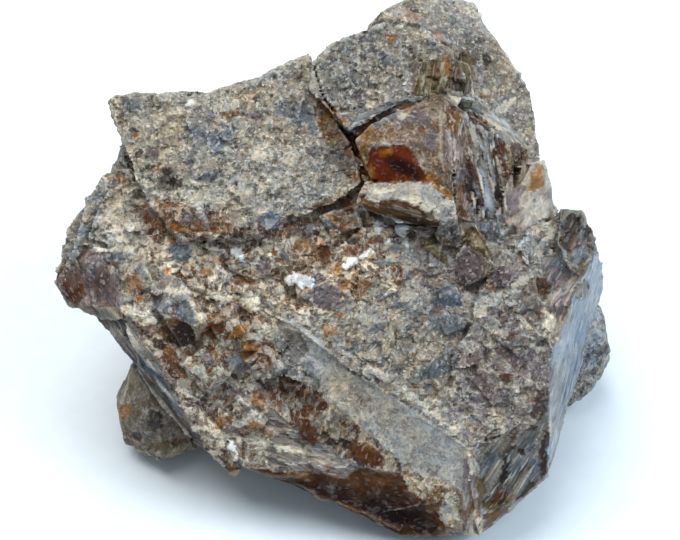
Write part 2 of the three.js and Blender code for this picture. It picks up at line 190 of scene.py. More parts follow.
# the kinds of ground on the face. Each has the size of its crystals in millimetres, how rough it is, how
# far and which way the crystals are drawn out, its minerals and their shares, and its outline in steps
ground = {
    "leftLobes": dict(
        size=1, relief=0.7, mix=dict(stone=0.3, grey=0.35, slate=0.2, sand=0.15),
        outline=[(50, 190), (122, 160), (125, 185), (96, 222), (92, 242), (76, 262), (52, 300),
            (40, 260)],
    ),
    "leftGround": dict(
        size=0.9, relief=0.8, motley=0.5, mix=dict(sand=0.45, cream=0.18, grey=0.2, slate=0.07, brown=0.1),
        outline=[(122, 176), (140, 182), (150, 206), (140, 228), (150, 262), (120, 262), (96, 252),
            (92, 240), (98, 214)],
    ),
    "slab": dict(
        size=0.6, relief=0.55, muted=0.6, tone=0.8,
        mix=dict(sand=0.31, grey=0.36, slate=0.13, stone=0.13, cream=0.07),
        outline=[(102, 92), (188, 90), (262, 68), (313, 50), (316, 84), (324, 106), (346, 132),
            (362, 180), (335, 202), (290, 216), (258, 232), (235, 238), (212, 238), (170, 226),
            (148, 208), (138, 182), (118, 140)],
    ),
    "upperBlock": dict(
        size=0.6, relief=0.65, muted=0.6, tone=0.66, mix=dict(grey=0.38, stone=0.3, slate=0.18, sand=0.14),
        outline=[(313, 50), (345, 34), (385, 16), (420, 28), (446, 56), (450, 98), (424, 100), (400, 110),
            (352, 130), (326, 108), (316, 84)],
    ),
    "splitEnd": dict(
        size=0.9, relief=0.8, stretch=4, turn=80, muted=0.25, tone=0.75, motley=0.15,
        mix=dict(olive=0.42, brown=0.2, deep=0.16, rust=0.08, grey=0.14),
        outline=[(412, 66), (440, 58), (452, 40), (478, 60), (476, 96), (440, 98), (412, 92)],
    ),
    "notch": dict(
        size=0.8, relief=0.8, mix=dict(brown=0.4, rust=0.4, stone=0.2),
        outline=[(318, 100), (330, 104), (356, 128), (366, 150), (372, 184), (352, 180), (340, 150),
            (322, 142)],
    ),
    "trough": dict(
        size=0.7, relief=0.6, stretch=4, turn=22, motley=0, mix=dict(slate=0.45, stone=0.2, grey=0.35),
        outline=[(344, 132), (358, 112), (402, 98), (424, 97), (408, 112), (376, 124), (354, 140)],
    ),
    "blockTop": dict(
        size=0.5, relief=0.3, muted=0.3, tone=0.58, rimmed=0.2, motley=0.3, calm=0.35,
        mix=dict(violet=0.3, rust=0.3, brown=0.3, grey=0.08, cream=0.02),
        outline=[(356, 132), (368, 118), (400, 112), (424, 98), (444, 96), (446, 130), (452, 190),
            (430, 176), (406, 146), (370, 146)],
    ),
    "blockRight": dict(
        size=0.9, relief=0.5, stretch=4, turn=85, muted=0.3, tone=0.78,
        mix=dict(violet=0.28, brown=0.3, rust=0.2, grey=0.12, deep=0.1),
        outline=[(443, 96), (466, 108), (478, 128), (480, 200), (462, 214), (452, 192), (446, 150)],
    ),
    "streaked": dict(
        size=0.55, relief=0.8, stretch=10, turn=-77, muted=0, tone=0.72, motley=0,
        mix=dict(deep=0.24, brown=0.2, cream=0.14, paleSlate=0.05, grey=0.27, violet=0.06),
        outline=[(464, 108), (486, 114), (524, 148), (510, 184), (504, 222), (478, 226), (470, 196)],
    ),
    "bandAbove": dict(
        size=0.7, relief=0.4, stretch=4, turn=-42, motley=0,
        mix=dict(cream=0.35, grey=0.35, slate=0.2, sand=0.1),
        outline=[(442, 96), (470, 94), (505, 120), (528, 146), (520, 152), (486, 120), (464, 110)],
    ),
    "rear": dict(
        size=1, relief=0.5, muted=0.6, tone=0.6,
        mix=dict(grey=0.4, cream=0.12, slate=0.16, sand=0.16, stone=0.16),
        outline=[(448, 10), (480, 30), (532, 90), (540, 150), (526, 146), (500, 116), (470, 94),
            (476, 60), (450, 40), (400, 0), (430, -8)],
    ),
    "recess": dict(
        size=1, relief=0.3, mix=dict(brown=0.5, deep=0.3, olive=0.2),
        outline=[(509, 142), (528, 150), (524, 178), (512, 190), (507, 170)],
    ),
    "stub": dict(
        size=0.6, relief=0.2, stretch=2, turn=62, muted=0.65, tone=1, calm=0.5,
        mix=dict(violet=0.32, grey=0.34, cream=0.2, rust=0.14),
        outline=[(512, 188), (526, 158), (545, 168), (553, 200), (548, 236), (506, 240), (503, 216)],
    ),
    "bladeTop": dict(
        size=0.5, relief=0.2, muted=0.5, tone=0.78, motley=0.1, calm=0.5,
        mix=dict(cream=0.25, grey=0.4, sand=0.2, paleSlate=0.15),
        outline=[(362, 200), (372, 184), (420, 182), (440, 190), (452, 200), (440, 216), (420, 204),
            (396, 200)],
    ),
    "bladeEnd": dict(
        size=0.5, relief=0.3, mix=dict(grey=0.4, stone=0.25, sand=0.35),
        outline=[(440, 194), (456, 196), (456, 226), (438, 224), (430, 208)],
    ),
    "bladeFoot": dict(
        size=1, relief=0.15, stretch=4, turn=-18, muted=0.7, tone=0.5, motley=0, calm=0.4,
        mix=dict(olive=0.25, brown=0.75),
        outline=[(358, 204), (396, 200), (420, 206), (438, 220), (440, 230), (400, 224), (372, 214)],
    ),
    "ledge": dict(
        size=1.4, relief=0.8, muted=0.25, rimmed=0.2, motley=0.6,
        mix=dict(brown=0.38, rust=0.2, violet=0.16, deep=0.12, amber=0.04, sand=0.1),
        outline=[(134, 204), (160, 200), (212, 212), (244, 230), (290, 216), (338, 198), (366, 184),
            (366, 200), (352, 216), (330, 238), (296, 240), (246, 242), (200, 240), (150, 232)],
    ),
    "bladeShade": dict(
        size=1.1, relief=0.7, motley=0.6,
        mix=dict(violet=0.2, slate=0.3, deep=0.16, grey=0.14, olive=0.1, cream=0.1),
        outline=[(366, 214), (440, 228), (470, 214), (506, 224), (500, 244), (440, 250), (400, 246),
            (370, 236)],
    ),
    "middle": dict(
        size=1, relief=0.75, muted=0.2, tone=1.16, rimmed=0.4, motley=0.9,
        mix=dict(sand=0.28, cream=0.18, rust=0.18, brown=0.14, violet=0.09, slate=0.05, deep=0.04, grey=0.04),
        outline=[(150, 228), (246, 238), (330, 236), (366, 216), (396, 226), (420, 250), (410, 290),
            (350, 312), (300, 318), (262, 300), (196, 292), (150, 262)],
    ),
    "rightGround": dict(
        size=1.2, relief=0.8, tone=0.8, rimmed=0.25, motley=0.32,
        mix=dict(grey=0.25, violet=0.25, sand=0.16, slate=0.22, cream=0.08, brown=0.04),
        outline=[(400, 240), (470, 224), (508, 238), (560, 210), (560, 256), (546, 300), (474, 340),
            (450, 360), (410, 330), (402, 290)],
    ),
    "centreGround": dict(
        size=0.75, relief=0.6, tone=0.88, motley=0.28,
        mix=dict(sand=0.26, grey=0.29, slate=0.19, stone=0.12, cream=0.08, rust=0.06),
        outline=[(300, 318), (350, 310), (404, 288), (414, 330), (452, 360), (470, 446), (420, 412),
            (380, 388), (346, 366), (300, 334)],
    ),
    "raised": dict(
        size=1, relief=0.9, tone=0.94, motley=0.32,
        mix=dict(violet=0.32, grey=0.2, sand=0.12, slate=0.1, brown=0.06, stone=0.12, cream=0.08),
        outline=[(452, 352), (470, 342), (544, 300), (556, 330), (552, 356), (544, 400), (530, 430),
            (500, 440), (470, 446), (455, 400)],
    ),
    "darkStripes": dict(
        size=0.9, relief=0.6, stretch=3, turn=60, mix=dict(stone=0.35, brown=0.25, violet=0.2, grey=0.2),
        outline=[(544, 256), (566, 250), (586, 262), (572, 300), (556, 336), (545, 310)],
    ),
    "darkCorner": dict(
        size=0.9, relief=0.6, stretch=4, turn=50, mix=dict(deep=0.42, slate=0.2, olive=0.2, stone=0.18),
        outline=[(560, 208), (584, 206), (604, 236), (604, 262), (586, 280), (568, 262), (556, 240)],
    ),
    "sideFace": dict(
        size=0.5, relief=0.25, stretch=9, turn=66, muted=0.7, motley=0, calm=0.2,
        mix=dict(paleSlate=0.75, slate=0.1, grey=0.15),
        outline=[(602, 240), (620, 250), (620, 330), (596, 306), (572, 410), (556, 452), (542, 490),
            (538, 470), (546, 400), (552, 356), (568, 318), (584, 276)],
    ),
    "cornerFibres": dict(
        size=0.45, relief=0.35, stretch=14, turn=58, muted=0.3, tone=0.8, motley=0,
        mix=dict(stone=0.26, slate=0.24, deep=0.2, olive=0.16, grey=0.14),
        outline=[(470, 446), (500, 438), (530, 428), (548, 396), (548, 470), (538, 492), (508, 504),
            (478, 512), (474, 470)],
    ),
    "column": dict(
        size=0.55, relief=0.4, stretch=8, turn=80, muted=0.3, motley=0,
        mix=dict(violet=0.3, cream=0.2, brown=0.15, grey=0.2, paleSlate=0.15),
        outline=[(464, 446), (478, 450), (484, 520), (478, 540), (458, 532), (460, 490)],
    ),
    "cornerFoot": dict(
        size=0.8, relief=0.4, stretch=5, turn=42, motley=0,
        mix=dict(slate=0.3, paleSlate=0.3, brown=0.15, stone=0.25),
        outline=[(480, 508), (508, 504), (544, 484), (556, 500), (520, 530), (484, 544)],
    ),
    "facet": dict(
        size=1.5, relief=0.12, muted=0.75, tone=0.95, motley=0.22, calm=0.3,
        mix=dict(grey=0.45, paleSlate=0.2, slate=0.05, cream=0.3),
        outline=[(280, 316), (310, 332), (346, 368), (392, 394), (466, 446), (462, 492), (430, 480),
            (392, 458), (358, 430), (330, 396), (290, 350)],
    ),
    "facetEnd": dict(
        size=0.8, relief=0.5, motley=0.6, mix=dict(sand=0.32, rust=0.28, cream=0.22, grey=0.18),
        outline=[(396, 458), (430, 478), (464, 490), (462, 530), (440, 524), (424, 502), (398, 486)],
    ),
    "brownBlocks": dict(
        size=1.1, relief=0.7, stretch=1.8, turn=75, muted=0.15, tone=0.85, rimmed=0.5, motley=0.5,
        mix=dict(brown=0.33, deep=0.2, violet=0.1, amber=0.05, grey=0.14, sand=0.18),
        outline=[(250, 372), (290, 376), (332, 398), (362, 430), (398, 458), (398, 484), (356, 462),
            (318, 446), (290, 430), (262, 400)],
    ),
    "greyFibres": dict(
        size=0.6, relief=0.5, stretch=3.5, turn=-14, muted=0.65, tone=0.8, motley=0.3,
        mix=dict(grey=0.34, cream=0.1, slate=0.16, violet=0.18, brown=0.22),
        outline=[(262, 400), (300, 436), (350, 460), (398, 484), (396, 490), (350, 480), (300, 480),
            (248, 466), (274, 452), (250, 436), (270, 416)],
    ),
    "bottomFacet": dict(
        size=1, relief=0.18, stretch=2, turn=-12, muted=0.85, tone=0.7, motley=0.04, calm=0.55,
        mix=dict(brown=0.72, deep=0.18, rust=0.1),
        outline=[(222, 466), (260, 467), (300, 474), (340, 476), (364, 468), (398, 474), (412, 492),
            (440, 514), (448, 534), (400, 552), (330, 540), (270, 520)],
    ),
    "lowerLeft": dict(
        size=1.15, relief=0.7, muted=0.2, tone=1.05, rimmed=0.5, motley=0.75,
        mix=dict(sand=0.18, cream=0.12, brown=0.26, grey=0.16, rust=0.12, violet=0.06, deep=0.08, slate=0.04),
        outline=[(124, 304), (150, 290), (200, 290), (280, 316), (292, 352), (256, 378), (272, 404),
            (258, 420), (278, 436), (256, 450), (270, 466), (226, 468), (196, 440), (174, 400),
            (150, 350)],
    ),
    "leftTip": dict(
        size=1, relief=0.6, stretch=1.7, turn=-68, motley=0.3,
        mix=dict(violet=0.36, brown=0.24, deep=0.2, stone=0.12, sand=0.08),
        outline=[(52, 276), (84, 252), (118, 252), (122, 300), (130, 312), (96, 312), (66, 300)],
    ),
    "edgeFibres": dict(
        size=0.45, relief=0.5, stretch=12, turn=-52, muted=0.3, tone=0.9, motley=0,
        mix=dict(slate=0.12, stone=0.25, deep=0.15, violet=0.28, grey=0.2),
        outline=[(88, 302), (120, 306), (152, 350), (176, 400), (200, 444), (226, 470), (214, 480),
            (180, 440), (140, 390), (118, 344)],
    ),
    "leftFoot": dict(
        size=1.6, relief=0.3, mix=dict(stone=0.3, brown=0.2, olive=0.15, sand=0.2, grey=0.15),
        outline=[(108, 350), (140, 372), (190, 440), (208, 462), (180, 470), (120, 440)],
    ),
    "rightFoot": dict(
        size=1.6, relief=0.5, mix=dict(slate=0.35, paleSlate=0.2, brown=0.15, stone=0.3),
        outline=[(596, 306), (616, 320), (612, 372), (584, 410), (566, 416)],
    ),
}

# what a kind of ground has where it says nothing else: how far its crystals share one colour, how bright
# it is, how much pale crust lies between them, how mixed its finest crystals are, and how even it looks
usual = dict(muted=0.45, tone=1, rimmed=0, motley=0.2, calm=0)

# the rest of the rock
outside = dict(
    size=1.3, relief=0.7, mix=dict(grey=0.34, stone=0.22, sand=0.18, slate=0.14, brown=0.06, violet=0.06),
)

# crystals that stand out, by mineral, in steps: across, down, half width, half height, and the turn in
# degrees where they have one
crystals = {
    "amber": [
        (182, 229, 10, 3.5, -6), (275, 253, 4, 3), (218, 261, 4, 4), (237, 289, 6, 3),
        (333, 218, 9, 3, -10), (484, 95, 7, 4), (492, 288, 6, 4), (257, 424, 6, 4), (473, 456, 3, 5),
        (303, 262, 4, 3), (341, 318, 4, 4), (350, 258, 4, 3), (168, 270, 4, 4), (140, 300, 4, 3),
    ],
    "rust": [
        (330, 118, 5, 12, -40), (446, 62, 3, 4), (466, 212, 4, 4, 30), (372, 204, 10, 3, -14),
        (453, 122, 8, 11, -10), (448, 70, 3, 11), (215, 316, 8, 4, -10), (160, 333, 14, 4, 38),
        (170, 352, 14, 4, -42), (182, 372, 12, 4, -42), (225, 420, 10, 5, 20), (336, 270, 9, 6, 30),
        (345, 285, 9, 5, 20), (365, 284, 8, 5), (300, 244, 10, 4, 10), (230, 300, 8, 4),
        (405, 108, 9, 5, 20), (537, 180, 6, 16, -28), (136, 137, 6, 4), (157, 168, 5, 4),
        (232, 113, 8, 5), (250, 94, 6, 3, 10), (392, 39, 6, 4), (258, 402, 8, 5, -20),
        (300, 476, 14, 4, -10), (244, 476, 12, 4, -20), (435, 500, 10, 14, -20), (330, 330, 8, 5, -30),
        (292, 228, 8, 3, 10), (112, 262, 7, 5), (124, 414, 7, 8), (357, 180, 5, 5), (205, 272, 6, 3),
        (120, 180, 6, 4),
    ],
    "brown": [
        (150, 214, 10, 5, -25), (172, 222, 12, 4, -20), (196, 221, 9, 6, 20), (208, 228, 10, 4, -10),
        (228, 263, 7, 5), (246, 281, 14, 6, -8), (213, 330, 13, 7, 8), (150, 325, 10, 5, 40),
        (172, 363, 10, 7, -42), (331, 137, 10, 4, -20), (352, 206, 10, 6, 30), (310, 225, 9, 5, 25),
        (325, 205, 12, 5, 25), (318, 250, 8, 6, 40), (350, 248, 8, 6), (280, 262, 6, 5),
        (350, 232, 14, 7, -30), (375, 240, 8, 5), (262, 395, 9, 5, -20), (285, 387, 10, 6, -30),
        (302, 396, 9, 6, -30), (320, 404, 8, 6, -30), (355, 448, 11, 8, -30), (372, 456, 9, 8, -30),
        (310, 412, 8, 5, -30), (246, 489, 16, 4, -22), (300, 505, 30, 5, -24), (350, 520, 40, 8, -18),
        (404, 520, 26, 10, -25), (340, 498, 24, 5, -16), (462, 212, 6, 8, 20), (478, 236, 7, 6),
        (474, 244, 9, 9, 20), (494, 278, 14, 6, 20), (505, 376, 8, 5), (540, 285, 10, 10, 30),
        (570, 240, 10, 12, -20), (150, 380, 4, 10, 40), (500, 498, 6, 12, -30), (344, 228, 4, 3),
        (229, 405, 5, 7, 30), (180, 440, 8, 5, 30),
    ],
    "deep": [
        (174, 183, 7, 7, 30), (168, 171, 4, 4), (393, 60, 7, 5), (236, 235, 8, 3, 6),
        (322, 252, 7, 6, 30), (351, 240, 6, 6, 20), (310, 236, 9, 3, 30), (158, 318, 6, 7),
        (196, 344, 8, 5, -30), (160, 344, 8, 4, -30), (300, 425, 6, 5, -20), (312, 433, 6, 5, -20),
        (330, 440, 8, 5, -20), (345, 444, 7, 5, -20), (360, 460, 8, 5, -30), (296, 394, 5, 4, -30),
        (380, 511, 28, 6, -26), (330, 512, 26, 5, -24), (425, 526, 14, 6, -24), (516, 160, 7, 20, 2),
        (459, 74, 4, 22, -5), (463, 240, 18, 3, 4), (440, 236, 14, 3, -6), (486, 64, 3, 12),
        (498, 188, 3, 12, -12), (470, 182, 4, 12, -10), (572, 228, 9, 12, -30), (566, 246, 6, 14, -20),
        (593, 226, 5, 10, -30), (447, 294, 9, 8), (482, 282, 4, 8, -30), (540, 400, 5, 20, -24),
        (526, 440, 5, 18, -20), (505, 470, 4, 18, -10), (545, 455, 4, 22, -6), (154, 421, 8, 10),
        (136, 436, 6, 4), (238, 376, 6, 5), (226, 388, 5, 4), (205, 398, 5, 5), (378, 380, 3, 3),
        (292, 180, 3, 3), (332, 156, 9, 6, 20), (508, 230, 8, 4), (196, 440, 3, 14, 40),
        (218, 470, 8, 3, -20), (82, 253, 8, 3, 40), (96, 228, 3, 8, -30), (588, 250, 4, 10, -20),
    ],
    "violet": [
        (152, 210, 9, 4, -20), (186, 218, 8, 5), (204, 216, 6, 5), (264, 268, 9, 7, 20), (285, 256, 6, 5),
        (176, 333, 12, 7, -12), (184, 318, 13, 7, -34), (100, 266, 8, 12, 20), (330, 208, 9, 5, 30),
        (300, 232, 9, 4, 10), (418, 118, 12, 8), (432, 140, 7, 12), (402, 126, 12, 5, 10),
        (516, 198, 6, 16, -24), (425, 232, 14, 4, -4), (470, 480, 5, 22, 10), (566, 270, 7, 9),
        (505, 352, 10, 6, 10), (480, 356, 14, 7, 20), (522, 358, 12, 7, 10), (478, 400, 8, 6, 20),
        (532, 372, 12, 6, 20), (480, 380, 12, 5, 20), (500, 395, 14, 6, 10), (340, 415, 8, 5, -20),
        (208, 358, 8, 5, -20), (236, 392, 10, 5, 20), (118, 300, 5, 9, 20), (360, 96, 9, 5),
        (300, 130, 6, 6), (154, 154, 7, 6), (255, 116, 8, 5), (62, 282, 5, 6),
    ],
    "slate": [
        (196, 132, 11, 7), (214, 143, 11, 8, 20), (226, 134, 7, 6), (284, 108, 8, 10),
        (302, 116, 9, 11, 10), (314, 128, 5, 6), (206, 177, 12, 5), (130, 104, 12, 7, -10),
        (270, 221, 7, 5), (311, 226, 7, 5, 20), (324, 222, 6, 4), (180, 250, 9, 8, 10), (186, 259, 6, 5),
        (120, 256, 14, 5, 4), (104, 262, 8, 5, 20), (163, 303, 12, 8, 30), (180, 297, 12, 6, 10),
        (302, 345, 9, 6), (441, 294, 10, 8), (442, 366, 14, 9, 24), (451, 358, 8, 10, 20),
        (422, 372, 12, 5, 14), (408, 350, 12, 4, 20), (378, 292, 8, 5), (396, 304, 9, 4),
        (375, 330, 10, 4, 20), (352, 350, 9, 4, 20), (398, 250, 12, 5), (386, 262, 9, 4), (388, 60, 9, 8),
        (368, 52, 8, 5), (393, 116, 14, 4, 24), (376, 126, 9, 3, 24), (492, 232, 10, 8), (498, 218, 5, 5),
        (526, 440, 11, 10), (514, 464, 9, 12), (534, 470, 7, 12), (560, 262, 6, 14, -20),
        (580, 255, 7, 8, -30), (84, 232, 8, 7, 20), (72, 252, 7, 9), (96, 212, 7, 5, 30),
        (308, 368, 10, 5, -36), (240, 362, 14, 9, -10), (300, 436, 12, 5, -10), (318, 448, 10, 4, -10),
        (344, 52, 8, 6), (430, 44, 8, 5), (478, 108, 9, 4, -40), (455, 300, 6, 8), (420, 312, 12, 4, 10),
        (152, 370, 4, 16, 36), (176, 404, 4, 14, 34),
    ],
    "chalk": [
        (290, 280, 6, 6), (303, 281, 10, 6, -8), (312, 286, 4, 3), (350, 263, 9, 3.4, 32),
        (364, 255, 9, 3, 30), (402, 229, 7, 8, 20), (405, 240, 4, 8), (378, 228, 4.5, 7, 15),
        (391, 240, 7, 3, 20), (236, 254, 7, 3.4, -20), (242, 259, 4, 3), (233, 447, 3.1, 6, 24),
        (236, 457, 3.1, 3.4), (386, 243, 5, 3), (190, 104, 4, 3, 30),
    ],
    "cream": [
        (196, 196, 16, 8, 4), (214, 202, 10, 5), (180, 110, 12, 4, 14), (230, 104, 12, 5, 12),
        (240, 190, 14, 6), (276, 180, 12, 7), (262, 154, 14, 8), (292, 158, 10, 6, 20),
        (130, 312, 10, 4, -30), (146, 318, 10, 4, -20), (116, 236, 12, 8, 10), (104, 246, 8, 6),
        (126, 250, 8, 4), (180, 292, 18, 3, -4), (220, 297, 16, 4), (250, 302, 10, 4),
        (408, 396, 16, 3.4, -34), (432, 410, 12, 4, -34), (450, 430, 10, 4, -30),
        (380, 374, 16, 3.4, -34), (352, 356, 12, 3, -34), (474, 240, 8, 7, -20), (548, 228, 6, 12, 20),
        (540, 246, 6, 6, 20), (520, 282, 14, 4, 20), (490, 300, 16, 5, 10), (476, 312, 9, 6),
        (548, 320, 5, 7, 20), (542, 348, 6, 5, 20), (500, 330, 14, 4), (326, 312, 12, 4, -10),
        (344, 306, 9, 4), (366, 318, 12, 5), (280, 60, 16, 4, 20), (318, 42, 10, 4, 16),
        (480, 92, 14, 3, 10), (506, 106, 14, 4, 30), (262, 440, 12, 4, -16), (286, 450, 14, 3, -12),
        (240, 424, 9, 5, 20), (216, 452, 8, 5, -10), (448, 512, 9, 12, -20), (408, 200, 14, 4),
        (428, 208, 8, 5), (384, 192, 12, 3), (404, 118, 5, 3), (200, 370, 7, 4), (186, 392, 8, 3, -40),
        (231, 344, 3, 7, -30), (200, 318, 5, 4), (470, 466, 3, 14, 8), (128, 226, 6, 5),
    ],
    "stone": [
        (340, 162, 12, 8, 10), (350, 166, 9, 6), (330, 60, 12, 8), (350, 80, 14, 8), (420, 44, 10, 6),
        (366, 84, 9, 6), (186, 156, 7, 5), (262, 128, 9, 5), (316, 150, 9, 5), (370, 346, 12, 4, 20),
        (396, 368, 14, 5, 20), (350, 332, 10, 4, 20), (448, 218, 7, 8), (410, 216, 12, 3, -16),
        (584, 290, 6, 10, -20), (520, 410, 14, 8, 10), (540, 340, 8, 8),
    ],
    "olive": [
        (330, 142, 8, 4, 16), (424, 76, 9, 6, 30), (434, 88, 8, 5), (466, 66, 6, 12),
        (404, 212, 16, 3, -14), (424, 218, 12, 3, -14), (432, 242, 9, 5, 20), (480, 486, 6, 12),
        (356, 222, 5, 4), (160, 446, 12, 4, 20), (510, 160, 3, 10), (494, 512, 7, 7), (420, 92, 7, 5),
    ],
}

# clean crystal faces with straight sides: mineral, corners
cleanFaces = {
    "windowRim": ("rust", [(352, 136), (372, 120), (376, 140), (368, 148), (376, 182), (362, 184),
        (358, 160)]),
    "window": ("amberGlass", [(371, 147), (405, 145), (413, 152), (422, 168), (431, 183), (400, 182),
        (373, 184), (366, 166)]),
    "windowStreak": ("rust", [(420, 165), (432, 170), (446, 184), (455, 194), (453, 202), (444, 196),
        (430, 184)]),
    "tipEnd": ("brown", [(62, 282), (80, 272), (84, 290), (78, 306), (66, 298)]),
    "tipTop": ("violet", [(84, 268), (98, 262), (114, 268), (121, 298), (110, 306), (90, 304),
        (84, 290)]),
    "lowLeftBlock": ("deep", [(160, 326), (172, 318), (190, 326), (197, 338), (192, 346), (176, 348),
        (163, 340)]),
    "lowLeftCap": ("slate", [(173, 306), (186, 300), (197, 312), (196, 328), (188, 324), (176, 316)]),
    "lowLeftWedge": ("brown", [(197, 328), (206, 322), (222, 324), (223, 332), (214, 340), (198, 337)]),
    "leftBead": ("rust", [(228, 335), (234, 327), (247, 325), (250, 331), (241, 341), (230, 341)]),
    "leftDrop": ("rust", [(240, 342), (252, 340), (259, 349), (256, 360), (248, 364), (240, 356)]),
    "leftChip": ("slate", [(168, 248), (182, 242), (193, 250), (188, 262), (174, 264)]),
    "middleChip": ("deep", [(318, 247), (330, 246), (331, 262), (321, 266)]),
    "middlePlate": ("stone", [(269, 336), (284, 326), (300, 334), (308, 352), (296, 366), (280, 352)]),
    "rightPlate": ("slate", [(430, 320), (452, 314), (466, 320), (464, 332), (446, 337), (432, 332)]),
    "twinCap": ("olive", [(464, 231), (475, 226), (493, 254), (489, 263), (479, 250), (466, 244)]),
    "twinFoot": ("violet", [(466, 245), (478, 251), (488, 264), (476, 294), (456, 286), (453, 263)]),
    "twinSide": ("slate", [(481, 221), (496, 220), (505, 235), (500, 246), (488, 240), (481, 231)]),
    "rightChip": ("violet", [(491, 268), (508, 266), (517, 279), (508, 288), (493, 286)]),
    "twinHeel": ("slate", [(437, 287), (452, 284), (463, 296), (461, 306), (443, 307)]),
    "twinBack": ("olive", [(420, 242), (431, 238), (449, 257), (446, 266), (431, 254)]),
    "rightEdgeChip": ("violet", [(549, 264), (561, 268), (564, 284), (553, 287)]),
    "palePlate": ("grey", [(517, 246), (532, 232), (549, 241), (546, 273), (529, 265)]),
    "creamChip": ("cream", [(544, 310), (557, 320), (553, 331), (541, 325)]),
    "centreChip": ("violet", [(313, 288), (326, 282), (340, 287), (341, 304), (324, 312), (312, 302)]),
    "ledgeChip": ("slate", [(260, 216), (270, 211), (281, 216), (278, 228), (268, 232), (260, 226)]),
    "lowChip": ("brown", [(297, 417), (311, 420), (319, 432), (314, 447), (300, 438)]),
    "footChip": ("brown", [(349, 444), (364, 441), (387, 458), (384, 469), (366, 465), (352, 455)]),
    "ridgeChip": ("slate", [(412, 376), (438, 356), (460, 354), (456, 370), (436, 380)]),
}

